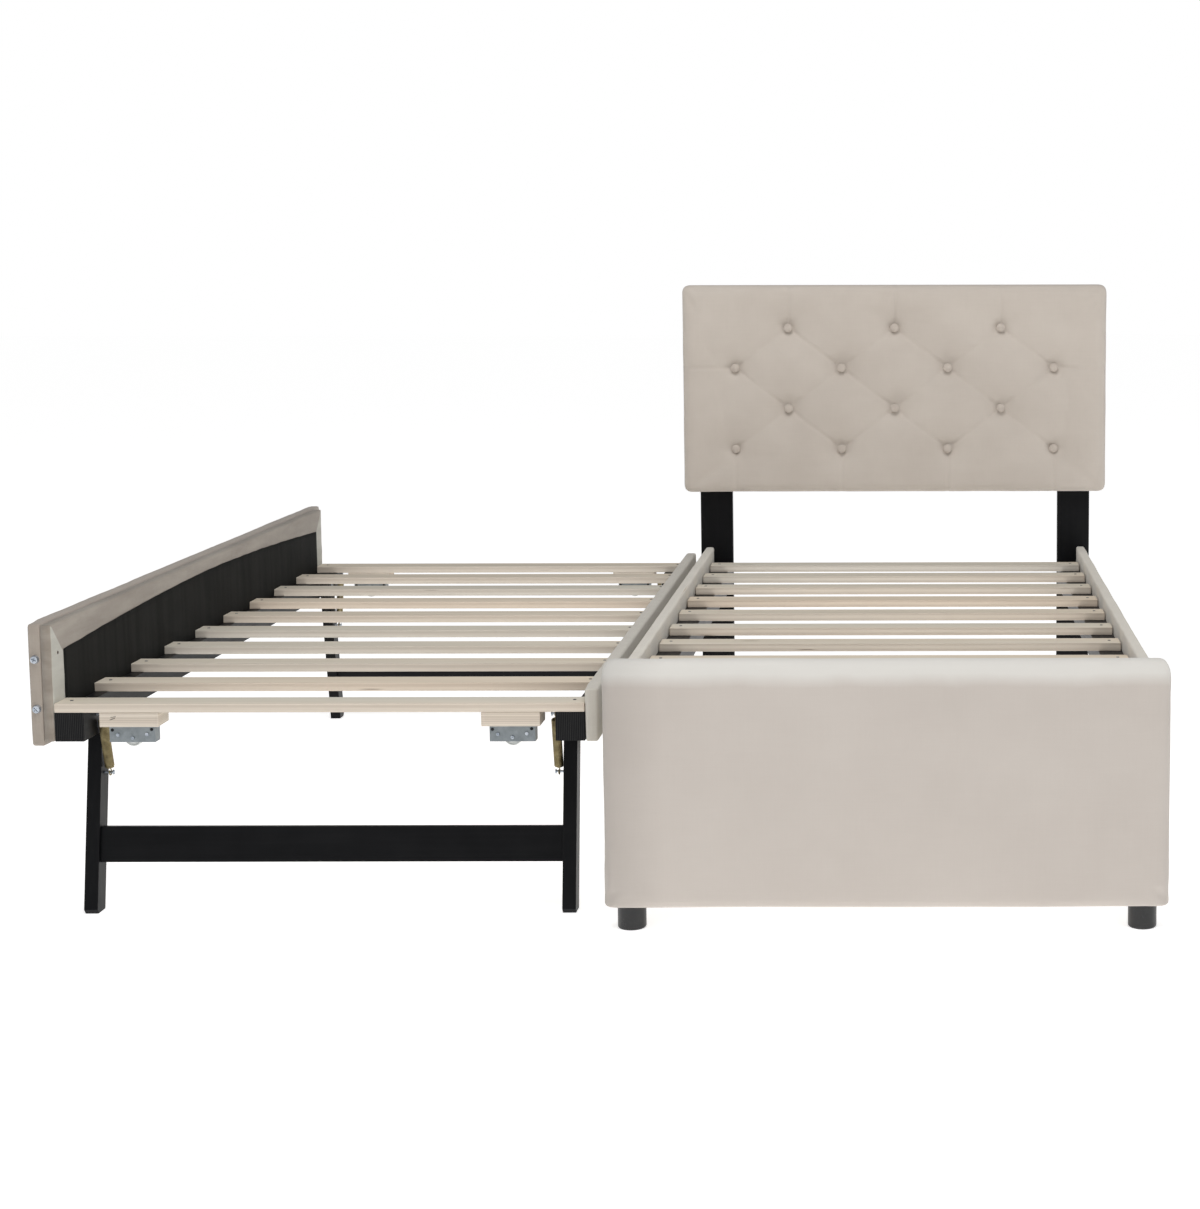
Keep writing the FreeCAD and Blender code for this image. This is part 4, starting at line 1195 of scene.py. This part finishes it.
def lining(finish):
    """The dust cloth: one sheet with its upper edge cut to an arch, drawn flat over the frame."""
    low, high = corners_of("front_frame")
    near, far, bottom, top = low.y + BATTEN, high.y - BATTEN, low.z + LINING_LOW, high.z - BORDER_TOP
    count, rows = round((far - near) / LINING_STEP), LINING_ROWS
    points, faces, area = [], [], 0.0
    for n in range(count + 1):
        share = n / count
        upper = top - arch(share) + 0.0012 * noise.noise(Vector((share * 30, 0, 0)))
        area += (upper - bottom) * (far - near) / (count + 1)
        for k in range(rows + 1):
            y, z = near + (far - near) * share, bottom + (upper - bottom) * k / rows
            slack = min(1.0, min(share, 1 - share) * 14) * math.sin(math.pi * k / rows)
            wave = abs(noise.noise(Vector((y * 5, z * 14, 2)))) * 0.0030 * slack
            points.append(Vector((high.x + LINING_PROUD + wave, y, z)))
    for n in range(count):
        for k in range(rows):
            here, there = n * (rows + 1) + k, (n + 1) * (rows + 1) + k
            faces.append((here, there, there + 1, here + 1))
    piece = new_piece("FrontLining", points, faces, finish)
    thick = piece.modifiers.new("Thickness", "SOLIDIFY")
    thick.thickness = LINING_TURN
    thick.offset = -1
    solid = as_modified(piece)
    piece.modifiers.clear()
    piece.data = solid
    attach(piece, "trundle")
    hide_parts("front_lining")


def soft_corner(p, low, high):
    """Small folds of gathered cloth over the corners of a wrapped board."""
    from_end = min(p.y - low.y, high.y - p.y)
    if from_end < 0.05 and high.z - p.z < 0.03:
        p.z -= 0.002 * (1 - from_end / 0.05) + 0.0008 * math.sin(p.y * 700)


border(border_finish())
lining(lining_finish())
front_cloth = cloth_finish("FrontCloth", TAUPE, threads=850.0, nap=(30, 7, 26), sheen=0.35)
wrapped_board("FrontBoardCover", "front_cover", front_cloth, "trundle", 1, 0.6, soft_corner)


def pilot_hole():
    """A spare pilot hole through the near upright of the border."""
    low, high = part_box("front_frame")
    return [(Vector((high[0] - 0.0002, low[1] + 0.030, high[2] - 0.055)), (1, 0, 0))]


def bolt_places():
    """The two bolts in each end of the front board, with the way that each faces."""
    low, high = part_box("front_bolts")
    across, (front_low, front_high) = (low[0] + high[0]) / 2, (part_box("front_cover"))
    radius = (high[0] - low[0]) / 2
    return [
        (Vector((across, end, level)), (0, way, 0))
        for end, way in ((front_low[1], -1), (front_high[1], 1))
        for level in (low[2] + radius, high[2] - radius)
    ]


bright_zinc = zinc_finish("BrightZinc", (206, 212, 220), (146, 156, 168))
fasteners(
    "FrontBolts", "trundle", bolt_places(), bright_zinc, BOLT_HEAD, BOLT_PROUD, 8, WIDE_SLOT,
    stands_for=("front_bolts",))
# painted shade: the pilot hole is a dark rust-brown disc half sunk in the border, not a recess
rusty_hole_shade = zinc_finish("PilotHole", (96, 62, 48), (44, 30, 26))
fasteners("BorderPilotHole", "trundle", pilot_hole(), rusty_hole_shade, PILOT_HOLE, HOLE_DEEP, 9, slot=0.0004)


# ---- Trundle's low back board -----------------------------------------------------------------
# A low board wrapped in the same kind of cloth, a little paler, with its nap brushed upright. It
# is fixed outside the slats' ends and faces the main bed's side rail.
BACK_CLOTH = ((206, 201, 191), (188, 182, 172))
back_cloth = cloth_finish("BackCloth", BACK_CLOTH, threads=850.0, nap=(40, 40, 5), sheen=0.35)
wrapped_board("BackBoardCover", "back_cover", back_cloth, "trundle", -1, 0.7, soft_corner)


# ---- Leg bolts and spring screws --------------------------------------------------------------
# Zinc pivot bolts and their nut plates, and the round-headed screws that the springs hook over.
# They keep their CAD shapes and take the same bright zinc as the front board's bolts.
refinish(bright_zinc, "trundle_fasteners", "foot_spring_pegs", "head_spring_pegs")


# ---- Rollers ----------------------------------------------------------------------------------
# Four nylon wheels turn in pressed steel boxes, riveted through their plates and screwed under
# blocks of the same laminated poplar as the slats.
STEEL_GREY = ((140, 147, 151), (118, 125, 129))
STEEL_EDGE = (190, 196, 200)
NYLON = ((206, 208, 205), (226, 228, 226))


def pressed_steel_finish():
    finish, tree, surface = new_finish("PressedSteel")
    place = place_on(tree)
    cloud = stretched_noise(tree, place, (70, 70, 70), 4.0)
    skin = stretched_noise(tree, place, (900, 900, 900), 2.0)
    edge = use_group(tree, wear_group, Reach=0.0008, Break=240.0)["Edge"]
    colour = between(tree, spread(tree, cloud, 0.35, 0.65), STEEL_GREY)
    colour = blend_colours(tree, times(tree, edge, 0.6), colour, linear(*STEEL_EDGE))
    feed(tree, surface, {
        "Base Color": colour,
        "Metallic": 0.35,
        "Roughness": spread(tree, cloud, 0.3, 0.7, 0.40, 0.55),
    })
    bumped(tree, surface, skin, 0.15, 0.0002)
    return finish


def nylon_finish():
    finish, tree, surface = new_finish("Nylon")
    place = place_on(tree)
    cloud = stretched_noise(tree, place, (120, 120, 120), 4.0)
    feed(tree, surface, {
        "Base Color": between(tree, spread(tree, cloud, 0.4, 0.7), NYLON),
        "Roughness": spread(tree, cloud, 0.3, 0.7, 0.3, 0.48),
    })
    bumped(tree, surface, cloud, 0.1, 0.0003)
    return finish


RIVETS = ((-0.027, 0.014), (0.027, 0.015), (0.0, 0.008))     # across and up, on each box's near face
PLATE_HOLES = ((-0.037, 0.023), (0.036, 0.024))
RIVET_RADIUS = 0.0037
RIVET_HEIGHT = 0.0022
HOLE_RADIUS = 0.0030
HOLE_PROUD = 0.0007
BOX_DEEP = 0.026
BLOCK_NAILS = ((0.026, 0.019), (0.024, 0.015))


def on_boxes(marks, proud):
    """Places on the near face of each roller box, with the way that they face."""
    places = []
    for end in ("foot", "head"):
        for side in ("left", "right"):
            low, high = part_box(f"{end}_wheel_{side}")
            x, y = (low[0] + high[0]) / 2, (low[1] + high[1]) / 2 - BOX_DEEP / 2 - proud
            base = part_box("caster_housings")[0][2]
            places += [(Vector((x + across, y, base + up)), (0, -1, 0)) for across, up in marks]
    return places


refinish(laminated_finish("RollerBlockPoplar", 0.0034), "caster_blocks")
refinish(pressed_steel_finish(), "caster_housings")
refinish(nylon_finish(), *(f"{end}_wheel_{side}" for end in ("foot", "head") for side in ("left", "right")))
# painted shade: the plate holes are dark discs standing on the boxes, not recesses; the same dark zinc
# colours the block nails
hole_shade_and_dark_nails = zinc_finish("HoleShadeAndDarkNails", (52, 54, 56), (30, 31, 33))
rivets, holes = on_boxes(RIVETS, 0.0), on_boxes(PLATE_HOLES, HOLE_PROUD)
fasteners("RollerRivets", "trundle", rivets, bright_zinc, RIVET_RADIUS, RIVET_HEIGHT, 12, slot=0.0007)
fasteners("RollerPlateHoles", "trundle", holes, hole_shade_and_dark_nails, HOLE_RADIUS, HOLE_DEEP, 13, slot=0.0004)


def block_nails():
    """Two nails driven slantwise through the near face of the left foot block."""
    low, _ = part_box("caster_blocks")
    return [(Vector((low[0] + across, low[1], low[2] + up)), (1, 0, 0.25)) for across, up in BLOCK_NAILS]


staples("BlockNails", "trundle", block_nails(), hole_shade_and_dark_nails, 22)


# ---- Leg springs ------------------------------------------------------------------------------
# Close-wound tension springs of yellow-passivated wire, one inside each leg. Each runs from a
# screw under the slats to a screw down the leg, with a hook bent out of its last turn at each end.
SPRING_WIRE = 0.00125
SPRING_REACH = 0.0078       # from the coil's middle to the middle of its wire
SPRING_PITCH = 2 * SPRING_WIRE * 1.06
SPRING_LOOP = 0.0058        # radius of its two hooks
PEG_HIGH = (0.066, 0.376)   # from the trundle's end, and level
SPRING_BRASS = ((178, 164, 124), (118, 106, 76))


def brass_wire_finish():
    finish, tree, surface = new_finish("YellowZincWire")
    place = place_on(tree)
    cloud = stretched_noise(tree, place, (60, 60, 60), 4.0)
    feed(tree, surface, {
        "Base Color": between(tree, spread(tree, cloud, 0.3, 0.7), SPRING_BRASS),
        "Metallic": 0.8,
        "Roughness": spread(tree, cloud, 0.3, 0.7, 0.32, 0.5),
    })
    bumped(tree, surface, stretched_noise(tree, place, (700, 700, 700), 2.0), 0.1, 0.0001)
    return finish


def wound_wire():
    """Geometry Nodes: a close coil from the origin up Z, joined to the wire of its two hooks."""
    tree, given = growing_tree(
        "WoundWire", "Spring", Hooks="Geometry", Length="Float", Reach="Float", Wire="Float", Turns="Float",
        Foot="Vector", Lean="Vector", Finish="Material")
    coil = wire(tree, "GeometryNodeCurveSpiral", {
        "Resolution": 20, "Rotations": given["Turns"], "Height": given["Length"],
        "Start Radius": given["Reach"], "End Radius": given["Reach"]}).outputs[0]
    leant = wire(tree, "FunctionNodeAlignRotationToVector", {"Vector": given["Lean"]}, axis="Z").outputs[0]
    upright = wire(tree, "GeometryNodeTransform", {
        "Geometry": coil, "Translation": given["Foot"], "Rotation": leant}).outputs[0]
    both = wire(tree, "GeometryNodeJoinGeometry", {0: upright})
    tree.links.new(given["Hooks"], both.inputs[0])
    drawn = drawn_wire(tree, both.outputs[0], given["Wire"], 6)
    smooth = wire(tree, "GeometryNodeSetShadeSmooth", {0: drawn}).outputs[0]
    return give_out(tree, smooth, given["Finish"])


def hook(centre, way, side, coil_end):
    """Wire from the last turn of a coil, in along its axis, and once round a screw."""
    points = [coil_end + side * SPRING_REACH, coil_end + side * SPRING_REACH * 0.6 + way * SPRING_WIRE * 1.5]
    reach = (centre - coil_end).length
    points.append(coil_end + way * (reach - SPRING_LOOP * 1.3) * 0.6)
    for n in range(11):
        angle = math.radians(-150 + 300 * n / 10)
        points.append(centre + way * (SPRING_LOOP * math.cos(angle)) + side * (SPRING_LOOP * math.sin(angle)))
    return points


def leg_spring(end, side, finish, tree):
    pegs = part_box(f"{end}_spring_pegs")
    springs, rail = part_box("leg_springs"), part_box("rail_left")
    thick = SPRING_REACH + SPRING_WIRE
    x = springs[0][0] + thick if side == "left" else springs[1][0] - thick
    away, level = PEG_HIGH
    high = Vector((x, rail[0][1] + away if end == "foot" else rail[1][1] - away, level))
    low = Vector((x, (pegs[0][1] + pegs[1][1]) / 2, (pegs[0][2] + pegs[1][2]) / 2))
    way = (high - low).normalized()
    sidewards = Vector((1, 0, 0)).cross(way)
    gap = SPRING_LOOP * 2.1
    foot, top = low + way * gap, high - way * gap
    curve = bpy.data.curves.new(f"Spring_{end}_{side}", "CURVE")
    curve.dimensions = "3D"
    for centre, along, coil_end in ((high, way, top), (low, -way, foot)):
        route = hook(centre, along, sidewards, coil_end)
        spline = curve.splines.new("POLY")
        spline.points.add(len(route) - 1)
        for point, at in zip(spline.points, route):
            point.co = (*at, 1)
    length = (top - foot).length
    piece = grown(
        placed(curve.name, curve), tree, Length=length, Reach=SPRING_REACH, Wire=SPRING_WIRE,
        Turns=round(length / SPRING_PITCH), Foot=tuple(foot), Lean=tuple(way), Finish=finish)
    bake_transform(piece)
    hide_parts("leg_springs")


wire_tree, wire_brass = wound_wire(), brass_wire_finish()
for end in ("foot", "head"):
    for side in ("left", "right"):
        leg_spring(end, side, wire_brass, wire_tree)
